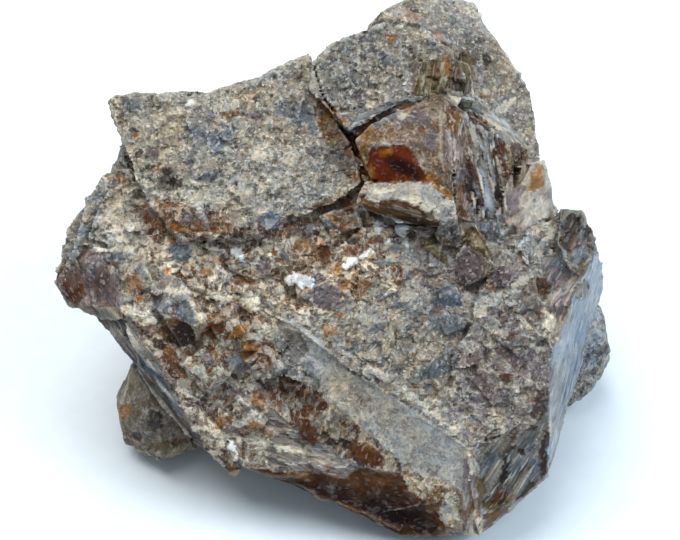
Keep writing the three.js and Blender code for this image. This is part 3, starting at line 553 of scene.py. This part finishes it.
# soft changes of colour, from the bottom one up, each fullest in its middle: mineral, strength, across,
# down, half width, half height, turn. Some are painted glow, highlight or shadow, as said beside them
veils = [
    ("resin", 1, 400, 166, 22, 11, -30), ("resin", 0.9, 412, 172, 14, 7, -40),
    # the amber veils over the window, here and on the next line, are painted glow of light seen through the
    # crystal
    ("amber", 0.9, 386, 152, 10, 3.4, 6), ("amber", 0.55, 371, 172, 5, 12, 10),
    ("amber", 0.5, 400, 181, 16, 2.4), ("amber", 0.5, 428, 178, 4, 9, -50),
    # the first two amber veils here give the two beads lower left their colour, brightest at their tops as a
    # painted highlight; the three resin veils after them are painted shade at the beads' lower edges
    ("amber", 0.95, 241, 330, 8, 3.5, 15), ("amber", 0.85, 247, 352, 6, 6, -30),
    ("resin", 0.7, 253, 359, 7, 4, -50), ("resin", 0.6, 236, 340, 8, 3, 30),
    ("resin", 0.6, 247, 344, 6, 2), ("amber", 0.7, 182, 229, 12, 3.5, -6),
    ("amber", 0.6, 372, 204, 14, 3, -16), ("slate", 0.4, 204, 138, 24, 18),
    ("sand", 0.4, 170, 120, 26, 18), ("slate", 0.35, 300, 112, 20, 18),
    ("sand", 0.35, 262, 90, 40, 14, 14), ("cream", 0.35, 250, 185, 40, 20),
    ("cream", 0.35, 205, 200, 28, 10), ("stone", 0.35, 190, 160, 18, 14),
    ("sand", 0.35, 300, 180, 26, 16), ("stone", 0.3, 340, 80, 30, 16), ("grey", 0.3, 400, 70, 30, 18),
    ("cream", 0.4, 136, 250, 18, 12), ("sand", 0.4, 112, 226, 16, 16), ("slate", 0.45, 452, 322, 22, 12),
    ("slate", 0.35, 446, 294, 14, 12), ("cream", 0.35, 420, 400, 44, 6, -36),
    ("sand", 0.35, 335, 325, 40, 12, -16), ("cream", 0.3, 400, 425, 50, 18, -36),
    ("resin", 0.85, 342, 500, 92, 20, -20), ("resin", 0.8, 400, 508, 50, 22, -30),
    ("rust", 0.6, 322, 500, 90, 5, -20), ("rust", 0.85, 384, 211, 30, 5, -15),
    ("resin", 0.5, 416, 222, 22, 4, -18), ("chalk", 0.85, 402, 231, 5, 8, 30),
    ("chalk", 0.7, 386, 225, 4, 7, 10), ("paleSlate", 0.4, 590, 330, 16, 50, -10),
    # the broad stone veil along the ridge above the facet, at 390 across and 393 down, is painted shadow
    # under the ridge
    ("resin", 0.4, 575, 240, 20, 18, -30), ("stone", 0.6, 390, 393, 96, 4, -35),
    ("deep", 0.4, 356, 371, 62, 2, -35), ("cream", 0.45, 440, 462, 26, 12, -35),
    ("violet", 0.4, 366, 400, 24, 8, -35), ("slate", 0.35, 326, 358, 24, 8, -38),
    ("deep", 0.6, 381, 114, 36, 5, 22), ("deep", 0.6, 101, 284, 16, 20, -60),
    ("violet", 0.5, 76, 280, 14, 8, 40), ("deep", 0.45, 72, 292, 14, 12, -40),
    ("stone", 0.35, 300, 340, 20, 10, -30), ("violet", 0.3, 402, 430, 18, 7, -30),
    ("deep", 0.3, 352, 384, 14, 3, -30), ("amber", 0.5, 432, 176, 14, 4, -42),
    ("amber", 0.5, 134, 289, 9, 6, 20), ("rust", 0.7, 338, 200, 24, 7, 30),
    ("brown", 0.75, 338, 130, 38, 5, -60), ("rust", 0.6, 331, 116, 16, 7, -60),
    ("rust", 0.5, 352, 145, 12, 4, -60), ("olive", 0.5, 331, 146, 9, 7),
    ("violet", 0.4, 300, 222, 32, 6, 20), ("rust", 0.45, 196, 229, 44, 6, -8),
    ("rust", 0.5, 352, 226, 26, 10, -24), ("brown", 1, 455, 76, 4.5, 13), ("rust", 0.9, 446, 65, 4, 9),
    ("olive", 0.9, 465, 64, 5, 20, -8), ("deep", 0.9, 460, 91, 8, 5), ("cream", 0.6, 466, 102, 10, 7),
    ("cream", 0.7, 441.5, 146, 50, 2, -87), ("cream", 0.5, 424, 160, 12, 3, -50),
    ("cream", 0.45, 127, 267, 10, 7), ("paleSlate", 0.4, 186, 312, 12, 5, -35),
    ("amber", 0.35, 172, 352, 12, 5, -42), ("rust", 0.4, 162, 336, 8, 5, 38),
    ("cream", 0.4, 434, 112, 12, 12), ("rust", 0.5, 392, 134, 34, 8, 10),
    ("resin", 0.35, 312, 412, 50, 22, -32), ("rust", 0.35, 320, 262, 40, 22, 10),
    ("brown", 0.3, 310, 222, 40, 10, 20), ("deep", 0.85, 181, 334, 17, 10, -20),
    ("resin", 0.6, 162, 345, 13, 6, 35), ("brown", 0.4, 176, 362, 20, 9, -40),
    ("rust", 0.75, 132, 280, 13, 11, -50), ("brown", 0.7, 137, 292, 10, 5, 10),
    ("cream", 0.4, 126, 268, 8, 4, 10), ("rust", 0.5, 533, 178, 3.5, 16, -28),
    ("cream", 0.3, 546, 176, 4, 14, 10), ("deep", 0.6, 466, 284, 12, 7, -60),
    ("deep", 0.4, 494, 233, 9, 6, -40), ("rust", 0.5, 470, 234, 8, 5, -50),
    ("chalk", 0.45, 524, 240, 34, 2, 55), ("chalk", 0.4, 506, 230, 24, 1.6, 48),
    ("chalk", 0.35, 533, 212, 16, 1.8, 62), ("violet", 0.6, 538, 366, 16, 8, 20),
    ("deep", 0.4, 536, 370, 12, 5, 20), ("slate", 0.5, 441, 366, 15, 8, 30),
    ("deep", 0.4, 502, 280, 9, 5), ("sand", 0.55, 476, 240, 13, 6, -50), ("deep", 0.4, 100, 276, 12, 22),
    ("rust", 0.6, 134, 284, 12, 10), ("rust", 0.65, 243, 281, 12, 6, -20),
    ("rust", 0.5, 172, 322, 10, 6, 30), ("brown", 0.5, 162, 332, 8, 10),
    ("chalk", 0.6, 352, 262, 11, 4, 32), ("sand", 0.5, 436, 250, 13, 5, -40),
    ("cream", 0.4, 536, 252, 9, 12, 20), ("violet", 0.4, 528, 258, 8, 8),
    ("deep", 0.45, 306, 434, 6, 12, 10), ("olive", 0.5, 314, 428, 3, 10),
    ("rust", 0.5, 370, 448, 14, 5, -30), ("deep", 0.45, 441, 297, 10, 9),
    ("violet", 0.4, 478, 384, 14, 7, 20), ("olive", 0.6, 452, 246, 14, 6, -40),
    ("rust", 0.4, 444, 240, 6, 4), ("cream", 0.45, 505, 292, 18, 5, 12), ("cream", 0.3, 190, 292, 40, 5),
]

rockLook = {
    # sizes and heights in millimetres
    "cellSize": 0.33,  # of the fine mesh
    "mostFaces": 197000,
    "frontThins": 0.5,  # how readily the front gives up triangles, where the back has 1
    "levelTo": 1.2,  # below this height it stays nearly level, to rest on
    "hollowWidth": 8,  # how many steps of the mesh count as the ground near a point
    "turned": 0.1,  # how far a point may face away and still belong to the broad face
    "ground": {
        "depth": 20,  # how far behind the middle of the face it goes
        "wander": 0.45,  # how far the edges of each kind wander
        "bigSize": 2.6,  # how large the larger crystals are beside the small ones
        "bigLift": 0.5,  # how far they stand out
        "smallLift": 0.2,
        "tilt": 1.8,  # how much their faces lean
        "bend": 0.3,  # how crooked the borders between them are
        "bendSize": 1.7,
        "border": (0.04, 0.3),  # from the middle of a border to the clear crystal
        "alike": 0.5,  # how many small crystals are of the same mineral as the large one they lie in
        "bright": (0.6, 0.4),  # how much of the brightness is that of the small and of the large one
        "seed": 100,
    },
    "crystals": {
        "depth": 14,
        "wander": 0.12,
        "ragged": 0.3,
        "chipSize": 1.1,
        "chipSeed": 7,
        "keeps": 0.4,  # how much of the height of the ground stays
        "bright": 0.5,  # how much of its brightness is the crystal's own
        "tilt": 0.45,
        "muted": 0.1,
        "motley": 0.35,
        "glossy": 0.3,  # from this gloss on, a thin crust lies round them
        "crust": 0.3,
        "seed": 5,
    },
    "cleanFaces": {"depth": 6, "wander": 0.1, "keeps": 0.15, "tilt": 0.3, "mixed": 0.3, "seed": 9},
    # how far each mineral stands out of the ground, or lies in it
    "proud": {"deep": -0.1, "chalk": 0.3, "cream": 0.06, "amber": 0.12, "brown": 0.05, "slate": 0.1},
    "contrast": 4,  # between the crystals of one mineral
    "crust": (0.46, 0.41, 0.32),
    "crustPatches": (-0.3, 0.5),
    "veilEdge": (1.1, 0.3),  # from clear to full, in half widths
    "cloudy": 0.2,  # how much broad lighter and darker patches show
    "warm": 0.09,  # and warmer and cooler ones
    "warmth": (1, 0.2, -1.1),
    "tintRange": (0.004, 0.95),
    # soft noise of each kind: size, strength, seed
    "waves": {
        "across": [(2.2, 1, 40), (0.9, 0.5, 50)],
        "up": [(2.2, 1, 41), (0.9, 0.5, 51)],
        "crust": [(1.4, 1, 71)],
        "cloud": [(7, 1, 61), (2.6, 0.7, 62)],
        "warmth": [(5, 1, 63), (2, 0.6, 64)],
        "swell": [(5, 0.2, 13), (1.7, 0.12, 14)],
    },
}


def wave(points, name):
    return sum(strength * ripple(points, size, seed) for size, strength, seed in rockLook["waves"][name])


def facets(marks, away):
    # each crystal has a height of its own and a face that leans
    return marks[:, 2] - 0.5 + (away * (marks[:, 1:4] - 0.5)).sum(1) * rockLook["ground"]["tilt"]


def mosaic(points, kind):
    # crystals side by side: what a kind of ground has at each point
    look = rockLook["ground"]
    size = kind["size"]
    place = points
    if "stretch" in kind:
        turn = math.radians(kind["turn"])
        along = math.cos(turn) * faceAxes[0] + math.sin(turn) * faceAxes[1]
        place = points - np.outer(points @ along, along) * (1 - 1 / kind["stretch"])
    bend = look["bend"] * size * ripple(place, size * look["bendSize"], look["seed"])
    place = place + bend[:, None]
    small, smallAway, smallGap = grains(place, size, look["seed"] + 1)
    big, bigAway, bigGap = grains(place, size * look["bigSize"], look["seed"] + 2)
    codes = np.array([mineralNames.index(name) for name in kind["mix"]])
    shares = list(kind["mix"].values())
    pick = np.where(small[:, 3] < 1 - look["alike"], small[:, 0], big[:, 0])
    chosen = np.searchsorted(np.cumsum(shares) / sum(shares), pick, side="right").clip(0, len(codes) - 1)
    lift = look["bigLift"] * facets(big, bigAway) + look["smallLift"] * facets(small, smallAway)
    return {
        "mineral": codes[chosen],
        "common": sum(mineralTable[code, :3] * share for code, share in zip(codes, shares)) / sum(shares),
        "bright": look["bright"][0] * small[:, 1] + look["bright"][1] * big[:, 1],
        "loose": small[:, 2],
        "lift": kind["relief"] * lift,
        "weave": place,
        "rim": 1 - smooth(*look["border"], np.minimum(smallGap, bigGap * 2)),
        **{name: kind.get(name, value) for name, value in usual.items()},
    }


def layGround(real, seen, front):
    belongs = np.full(len(real), len(ground))  # the rest of the rock, which comes last
    for k, kind in enumerate(ground.values()):
        belongs[inside(seen, outlineOf(kind["outline"])) & front] = k
    stone = {name: np.zeros(len(real)) for name in ("bright", "loose", "lift", "rim", *usual)}
    stone["mineral"] = np.zeros(len(real), int)
    stone["common"] = np.zeros((len(real), 3))
    stone["weave"] = np.zeros((len(real), 3))
    for k, kind in enumerate([*ground.values(), outside]):
        here = belongs == k
        if here.any():
            for name, values in mosaic(real[here], kind).items():
                stone[name][here] = values
    print("ground laid out")
    return stone


def addCrystals(stone, seen, near):
    look = rockLook["crystals"]
    for name, places in crystals.items():
        code = mineralNames.index(name)
        proud = rockLook["proud"].get(name, 0)
        for k, place in enumerate(places):
            across, up, halfWidth, halfHeight, turn = patchOf(*place)
            reach = ellipse(seen, across, up, halfWidth, halfHeight, turn)
            reach += look["ragged"] * (stone["loose"] - 0.5)
            here = (reach < 1) & near["crystals"]
            stone["mineral"][here] = code
            stone["muted"][here] = look["muted"]
            stone["motley"][here] *= look["motley"]
            if minerals[name][2] >= look["glossy"]:
                shell = (reach >= 1) & (reach < 1 + look["crust"] / halfHeight) & near["ground"]
                stone["rim"][shell] = 1
                stone["rim"][here] = 0
            tilt = scramble(np.array([[k, code, 3]]), look["seed"])[0]  # random, the same each time
            slope = (seen[here] - (across, up)) @ (tilt[:2] - 0.5) / max(halfWidth, halfHeight)
            stone["lift"][here] = stone["lift"][here] * look["keeps"] + proud + look["tilt"] * slope
            stone["bright"][here] += (tilt[2] - stone["bright"][here]) * look["bright"]


def addCleanFaces(stone, seen, near):
    look = rockLook["cleanFaces"]
    for k, (name, corners) in enumerate(cleanFaces.values()):
        outline = outlineOf(corners)
        here = inside(seen, outline) & near["cleanFaces"]
        lean = scramble(np.array([[k, 1, 2]]), look["seed"])[0, :2] - 0.5
        slope = (seen[here] - np.mean(outline, axis=0)) @ lean
        stone["mineral"][here] = mineralNames.index(name)
        for layer in ("muted", "motley", "rim"):
            stone[layer][here] = 0
        stone["bright"][here] = 0.5 + look["mixed"] * (stone["bright"][here] - 0.5)
        stone["lift"][here] *= look["keeps"]
        stone["lift"][here] += rockLook["proud"].get(name, 0) + slope * look["tilt"]


def colourIn(stone, real, seen, front):
    made = mineralTable[stone["mineral"]]
    bright = (stone["bright"][:, None] - 0.5) * rockLook["contrast"]
    tint = made[:, :3] * (1 + made[:, 3:4] * bright)
    tint += (stone["common"] - tint) * stone["muted"][:, None]
    crust = stone["rim"] * stone["rimmed"] * smooth(*rockLook["crustPatches"], wave(real, "crust"))
    tint += (rockLook["crust"] - tint) * crust[:, None]
    for name, strength, *place in veils:
        veil = strength * smooth(*rockLook["veilEdge"], ellipse(seen, *patchOf(*place))) * front
        tint += (mineralTable[mineralNames.index(name), :3] - tint) * veil[:, None]
    tint *= stone["tone"][:, None]
    cloud = rockLook["cloudy"] * wave(real, "cloud")[:, None]
    tint *= 1 + cloud + rockLook["warm"] * wave(real, "warmth")[:, None] * rockLook["warmth"]
    stone["tint"] = tint.clip(*rockLook["tintRange"])
    stone["gloss"] = made[:, 4] * (1 - crust)
    stone["grit"] = made[:, 5] * (1 - stone["calm"])


def layOut(points, normals):
    # what every point of the rock is made of, and how far it stands out, in millimetres
    spot = toFace(points)
    real = points / mm
    stray = np.stack([wave(real, "across"), wave(real, "up")], 1)
    outward = (normals @ faceAxes.T)[:, 2]
    facing = outward > -rockLook["turned"] + rockLook["turned"] * stray[:, 0]
    near = {}
    strayed = {}
    for name in ("ground", "crystals", "cleanFaces"):
        near[name] = facing & (spot[:, 2] > -rockLook[name]["depth"])
        strayed[name] = rockLook[name]["wander"] * stray
    stone = layGround(real, squareOn(spot) + strayed["ground"], near["ground"])
    chipSize = rockLook["crystals"]["chipSize"]
    _, away, _ = grains(real, chipSize, rockLook["crystals"]["chipSeed"])
    chip = squareOn(toFace((real - away * chipSize) * mm))
    addCrystals(stone, 0.5 * (squareOn(spot) + chip) + strayed["crystals"], near)
    exact = squareOn(spot) + strayed["cleanFaces"]
    addCleanFaces(stone, exact, near)
    colourIn(stone, real, exact, near["ground"])
    stone["lift"] += wave(real, "swell")
    print("crystals and colours laid out")
    return stone, near["ground"]


def readAll(source, key):
    values = np.empty(len(source) * 3, np.float32)
    source.foreach_get(key, values)
    return values.reshape(-1, 3).astype(float)


def standsOut(mesh, points, normals):
    # how far each point stands above the ground near it, in millimetres
    edges = np.empty(len(mesh.edges) * 2, np.int32)
    mesh.edges.foreach_get("vertices", edges)
    start, end = edges.reshape(-1, 2).T
    count = np.bincount(edges, minlength=len(points)).clip(1)
    level = points.copy()
    for _ in range(rockLook["hollowWidth"]):
        total = [np.bincount(start, level[end, axis], len(points))
                 + np.bincount(end, level[start, axis], len(points)) for axis in range(3)]
        level = np.stack(total, 1) / count[:, None]
    return ((points - level) * normals).sum(1) / mm


def mark(mesh, name, kind, key, values):
    layer = mesh.attributes.new(name, kind, "POINT")
    layer.data.foreach_set(key, values.astype(np.float32).ravel())


def thinOut(rock, front):
    # the back, which is smoother, gives up more
    faces = len(rock.data.polygons) * 2
    if faces <= rockLook["mostFaces"]:
        return
    coarse = rock.vertex_groups.new(name="coarse")
    coarse.add(np.flatnonzero(~front).tolist(), 1, "REPLACE")
    coarse.add(np.flatnonzero(front).tolist(), rockLook["frontThins"], "REPLACE")
    thin = rock.modifiers.new("thin", "DECIMATE")
    thin.ratio = rockLook["mostFaces"] / faces
    thin.vertex_group = coarse.name
    thin.vertex_group_factor = 1e-4  # enough to tell the two apart
    bpy.ops.object.modifier_apply(modifier=thin.name)
    rock.vertex_groups.clear()


def makeRock():
    mesh = rockNode.data.copy()
    mesh.name = "vesuvianiteRock"
    mesh.materials.clear()
    shaping = bmesh.new()
    shaping.from_mesh(mesh)
    bmesh.ops.remove_doubles(shaping, verts=shaping.verts, dist=0.001 * mm)
    shaping.to_mesh(mesh)
    shaping.free()
    rock = bpy.data.objects.new("vesuvianiteRock", mesh)
    bpy.context.scene.collection.objects.link(rock)
    bpy.context.view_layer.objects.active = rock
    rock.select_set(True)
    mesh.remesh_voxel_size = rockLook["cellSize"] * mm
    mesh.remesh_voxel_adaptivity = 0
    bpy.ops.object.voxel_remesh()
    mesh = rock.data
    print("remeshed", len(mesh.vertices), "vertices")

    points = readAll(mesh.vertices, "co")
    normals = readAll(mesh.vertex_normals, "vector")
    stone, front = layOut(points, normals)
    lift = stone["lift"] * smooth(0, rockLook["levelTo"], points[:, 2] / mm)
    points += normals * (lift * mm)[:, None]
    points[:, 2] = np.maximum(points[:, 2], 0)
    mesh.vertices.foreach_set("co", points.astype(np.float32).ravel())
    mesh.update()
    # how far each point stands out sets the painted shade in hollows and the painted highlight on raised
    # edges of the finish
    stone["height"] = standsOut(mesh, points, normals)
    for name in ("gloss", "grit", "motley", "height"):
        mark(mesh, name, "FLOAT", "value", stone[name])
    mark(mesh, "tint", "FLOAT_COLOR", "color", np.hstack((stone["tint"], np.ones((len(points), 1)))))
    mark(mesh, "weave", "FLOAT_VECTOR", "vector", stone["weave"])
    thinOut(rock, front)
    print("rock has", len(rock.data.polygons), "faces")
    return rock


rock = makeRock()
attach(rock, "root")
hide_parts("vesuvianite_rock")


class Signal:
    # wraps a node's output, so that shader maths reads as plain expressions
    def __init__(self, finish, socket):
        self.finish = finish
        self.socket = socket

    def join(self, operation, left, right):
        sides = [side.socket.type if isinstance(side, Signal) else "" for side in (left, right)]
        if not {"VECTOR", "RGBA"} & set(sides) and not isinstance(right, tuple):
            return self.finish.add("ShaderNodeMath", {"operation": operation}, {0: left, 1: right})
        if operation == "MULTIPLY" and not isinstance(right, (Signal, tuple)):
            return self.finish.add("ShaderNodeVectorMath", {"operation": "SCALE"}, {0: left, "Scale": right})
        return self.finish.add("ShaderNodeVectorMath", {"operation": operation}, {0: left, 1: right})

    def __add__(self, other):
        return self.join("ADD", self, other)

    __radd__ = __add__

    def __sub__(self, other):
        return self.join("SUBTRACT", self, other)

    def __rsub__(self, other):
        return self.join("SUBTRACT", other, self)

    def __mul__(self, other):
        return self.join("MULTIPLY", self, other)

    __rmul__ = __mul__

    def rise(self, low, high):
        # 0 below low, 1 above high, soft between
        settings = {"interpolation_type": "SMOOTHSTEP"}
        values = {"Value": self, "From Min": low, "From Max": high}
        return self.finish.add("ShaderNodeMapRange", settings, values)


class Finish:
    def __init__(self, name):
        self.material = bpy.data.materials.new(name)
        self.material.use_nodes = True
        self.tree = self.material.node_tree
        self.shader = self.tree.nodes["Principled BSDF"]

    def feed(self, socket, value):
        if isinstance(value, Signal):
            self.tree.links.new(value.socket, socket)
        else:
            socket.default_value = value

    def add(self, kind, settings=None, values=None, out=0):
        node = self.tree.nodes.new(kind)
        for key, value in (settings or {}).items():
            if key == "stops":
                ramp = node.color_ramp
                while len(ramp.elements) < len(value):
                    ramp.elements.new(1)
                for element, (place, colour) in zip(ramp.elements, value):
                    element.position = place
                    element.color = (*colour, 1)
            else:
                setattr(node, key, value)
        for key, value in (values or {}).items():
            self.feed(node.inputs[key], value)
        return Signal(self, node.outputs[out])

    def mark(self, name, out="Fac"):
        return self.add("ShaderNodeAttribute", {"attribute_name": name}, out=out)

    def ramp(self, amount, stops):
        return self.add("ShaderNodeValToRGB", {"stops": stops}, {"Fac": amount})

    def blend(self, amount, first, second, how="MIX"):
        # the Mix node keeps its colour sockets behind the ones for numbers and vectors
        settings = {"data_type": "RGBA", "blend_type": how}
        return self.add("ShaderNodeMix", settings, {0: amount, 6: first, 7: second}, out=2)

    def noise(self, place, size, detail=2, out="Fac"):
        values = {"Vector": place, "Scale": 1 / size, "Detail": detail}
        return self.add("ShaderNodeTexNoise", None, values, out=out)

    def cells(self, place, size, out="Color", feature="F1"):
        values = {"Vector": place, "Scale": 1 / size}
        return self.add("ShaderNodeTexVoronoi", {"feature": feature}, values, out=out)

    def part(self, colour, name):
        return self.add("ShaderNodeSeparateColor", None, {"Color": colour}, out=name)

    def set(self, **values):
        words = {"baseColor": "Base Color", "coatWeight": "Coat Weight",
                 "coatRoughness": "Coat Roughness", "shine": "Specular IOR Level"}
        for name, value in values.items():
            self.feed(self.shader.inputs[words.get(name, name.capitalize())], value)


rockFinish = {
    # sizes in millimetres
    "fine": 0.34,
    "medium": 0.85,
    "crystal": 0.75,
    "speckle": 0.2,
    "patch": 3,
    "drift": 1.1,  # how widely the borders between grains wander
    "driftBy": 0.6,  # and how far
    "patchy": 1.6,  # how unevenly the crystals are spread
    "hues": [(0.2, (0.9, 0.97, 1.06)), (0.5, (1, 1, 1)), (0.8, (1.1, 1, 0.84))],
    # what lies over the ground, with painted shade in hollows and a painted highlight on raised edges among
    # it: where it starts and is full, its strength, its colour
    "layers": {
        "paleCrystals": (0.74, 0.78, 0.6, (0.53, 0.47, 0.37)),
        "brownCrystals": (0.62, 0.65, 0.85, (0.055, 0.018, 0.008)),
        "amberCrystals": (1, 1.04, 0.7, (0.15, 0.052, 0.008)),
        "veins": (-0.1, -0.02, 0.6, (0.5, 0.45, 0.36)),
        "paleGrains": (0.84, 0.9, 0.35, (0.58, 0.56, 0.5)),
        "holes": (0.9, 0.94, 0.7, (0.02, 0.017, 0.014)),
        # painted shade: darker where the surface lies below the ground near it
        "hollows": (0.02, 0.35, 0.45, (0.05, 0.028, 0.014)),
        # edges: a painted highlight, paler where the surface stands above the ground near it
        "edges": (0.04, 0.3, 0.35, (0.6, 0.57, 0.5)),
    },
    "veined": (0.4, 0.55),  # where the speckle lets veins and holes show
    "pitted": (0.4, 0.6),
    "glinting": (0.78, 0.84),
    "glossy": (0.3, 0.95),
    "glossCovers": 0.8,
    # how much each counts
    "shade": {"fine": 0.5, "medium": 0.3, "speckle": 1.3, "darker": 1.05},
    "warmth": {"fine": 0.6, "medium": 0.4},
    "roughness": {"plain": 0.68, "gloss": 0.34, "fine": 0.15, "glint": 0.32},
    "coat": {"gloss": 0.25, "glint": 0.5, "brown": 0.15, "roughness": 0.1},
    "lean": {"fine": 0.7, "medium": 0.5, "crystal": 0.8},  # how far the faces of the grains turn
    "relief": {"fine": 0.5, "medium": 0.3, "speckle": 0.7},
    "reliefStrength": 0.5,
    "reliefDepth": 0.1,
    "shine": 0.06,
}


def weigh(weights, **signals):
    terms = [signal * weights[name] for name, signal in signals.items()]
    return sum(terms[1:], terms[0])


def makeRockFinish():
    look = rockFinish
    finish = Finish("vesuvianiteRock")
    weave = finish.mark("weave", "Vector")
    tint = finish.mark("tint", "Color")
    grit, gloss, height, motley = [finish.mark(name) for name in ("grit", "gloss", "height", "motley")]
    middle = (0.5, 0.5, 0.5)
    place = weave + (finish.noise(weave, look["drift"], out="Color") - middle) * look["driftBy"]
    fine, medium, crystal = [finish.cells(place, look[size]) for size in ("fine", "medium", "crystal")]
    border = finish.cells(place, look["crystal"], "Distance", "DISTANCE_TO_EDGE")
    speckle = finish.noise(weave, look["speckle"])
    patch = (finish.noise(weave, look["patch"]) - 0.5) * look["patchy"]
    fineRed, fineGreen, fineBlue = [finish.part(fine, name) for name in ("Red", "Green", "Blue")]
    mediumRed, mediumGreen, mediumBlue = [finish.part(medium, name) for name in ("Red", "Green", "Blue")]

    shade = weigh(look["shade"], fine=fineRed, medium=mediumRed, speckle=speckle) - look["shade"]["darker"]
    colour = tint * (1 + shade * grit)
    hue = finish.ramp(weigh(look["warmth"], fine=fineGreen, medium=mediumGreen), look["hues"])
    colour = finish.blend(grit, colour, hue, "MULTIPLY")
    plain = 1 - gloss * look["glossCovers"]
    layers = {
        # what decides, and where it may show
        "paleCrystals": (finish.part(crystal, "Blue") - patch, motley),
        "brownCrystals": (finish.part(crystal, "Red") + patch, motley),
        "amberCrystals": (finish.part(crystal, "Green") + patch, motley),
        "veins": (0 - border, speckle.rise(*look["veined"]) * motley),
        "paleGrains": (fineBlue, grit * plain),
        "holes": (1 - mediumBlue, speckle.rise(*look["pitted"]) * grit),
        # painted shade, darker in hollows
        "hollows": (0 - height, 1),
        # painted highlight on raised edges and bumps
        "edges": (height, plain),
    }
    shown = {}
    for name, (amount, where) in layers.items():
        low, high, strength, paint = look["layers"][name]
        shown[name] = amount.rise(low, high) * where
        colour = finish.blend(shown[name] * strength, colour, (*paint, 1))

    glint = fineRed.rise(*look["glinting"]) * grit
    smoothness = weigh(look["roughness"], gloss=gloss, fine=fineGreen, glint=glint)
    coat = weigh(look["coat"], gloss=gloss.rise(*look["glossy"]), glint=glint, brown=shown["brownCrystals"])
    lean = weigh(look["lean"], fine=fine - middle, medium=medium - middle)
    lean = finish.blend(grit, (0, 0, 0, 1), lean) + weigh(look["lean"], crystal=(crystal - middle) * motley)
    facing = finish.add("ShaderNodeNewGeometry", out="Normal") + lean
    facing = finish.add("ShaderNodeVectorMath", {"operation": "NORMALIZE"}, {0: facing})
    bump = finish.add("ShaderNodeBump", None, {
        "Strength": look["reliefStrength"],
        "Distance": look["reliefDepth"] * mm,
        "Height": weigh(look["relief"], fine=fineRed, medium=mediumRed, speckle=speckle),
        "Normal": facing,
    })
    finish.set(baseColor=colour, roughness=look["roughness"]["plain"] - smoothness, normal=bump)
    finish.set(coatWeight=coat, coatRoughness=look["coat"]["roughness"], shine=look["shine"])
    return finish.material


rock.data.materials.append(makeRockFinish())
print("rock finished")


studio = {
    "floor": 3,  # metres across
    "paper": [(0.3, (0.66, 0.73, 0.78)), (0.7, (0.69, 0.76, 0.81))],
    "rise": math.radians(48),  # of the camera
    "lens": 92,
    "sky": (0.82, 0.92, 1),
    "skyStrength": 0.4,
    "lights": {
        # name: place in millimetres, size, watts, colour
        "window": ((-100, 110, 440), 400, 2.8, (1, 0.985, 0.96)),
        "sky": ((280, -40, 260), 260, 1.2, (0.8, 0.9, 1)),
    },
}


def makeFloor():
    bpy.ops.mesh.primitive_plane_add(size=studio["floor"])
    floor = bpy.context.object
    floor.name = "floor"
    paper = Finish("paleFloor")
    room = paper.add("ShaderNodeTexCoord", out="Object") * (1 / mm)
    paper.set(baseColor=paper.ramp(paper.noise(room, 3, 4), studio["paper"]), roughness=0.6)
    floor.data.materials.append(paper.material)


def putUp(name, data, spot, back):
    # at spot, with its back turned that way
    item = bpy.data.objects.new(name, data)
    item.location = spot
    item.rotation_mode = "QUATERNION"
    item.rotation_quaternion = back.to_track_quat("Z", "Y")
    bpy.context.scene.collection.objects.link(item)
    return item


def makeStudio():
    makeFloor()
    scene = bpy.context.scene
    middle = Vector(faceMiddle)
    back = Vector((0, -math.cos(studio["rise"]), math.sin(studio["rise"])))
    lens = bpy.data.cameras.new("camera")
    lens.lens = studio["lens"]
    lens.sensor_width = 36
    lens.clip_start = 0.01
    scene.camera = putUp("camera", lens, middle + back * face["away"] * mm, back)
    for name, (spot, size, watts, colour) in studio["lights"].items():
        lamp = bpy.data.lights.new(name, "AREA")
        lamp.size = size * mm
        lamp.energy = watts
        lamp.color = colour
        putUp(name, lamp, Vector(spot) * mm, Vector(spot) * mm - middle)
    scene.world = bpy.data.worlds.new("room")
    scene.world.use_nodes = True
    background = scene.world.node_tree.nodes["Background"]
    background.inputs["Color"].default_value = (*studio["sky"], 1)
    background.inputs["Strength"].default_value = studio["skyStrength"]
    scene.view_settings.view_transform = "Standard"


makeStudio()
print("studio ready")
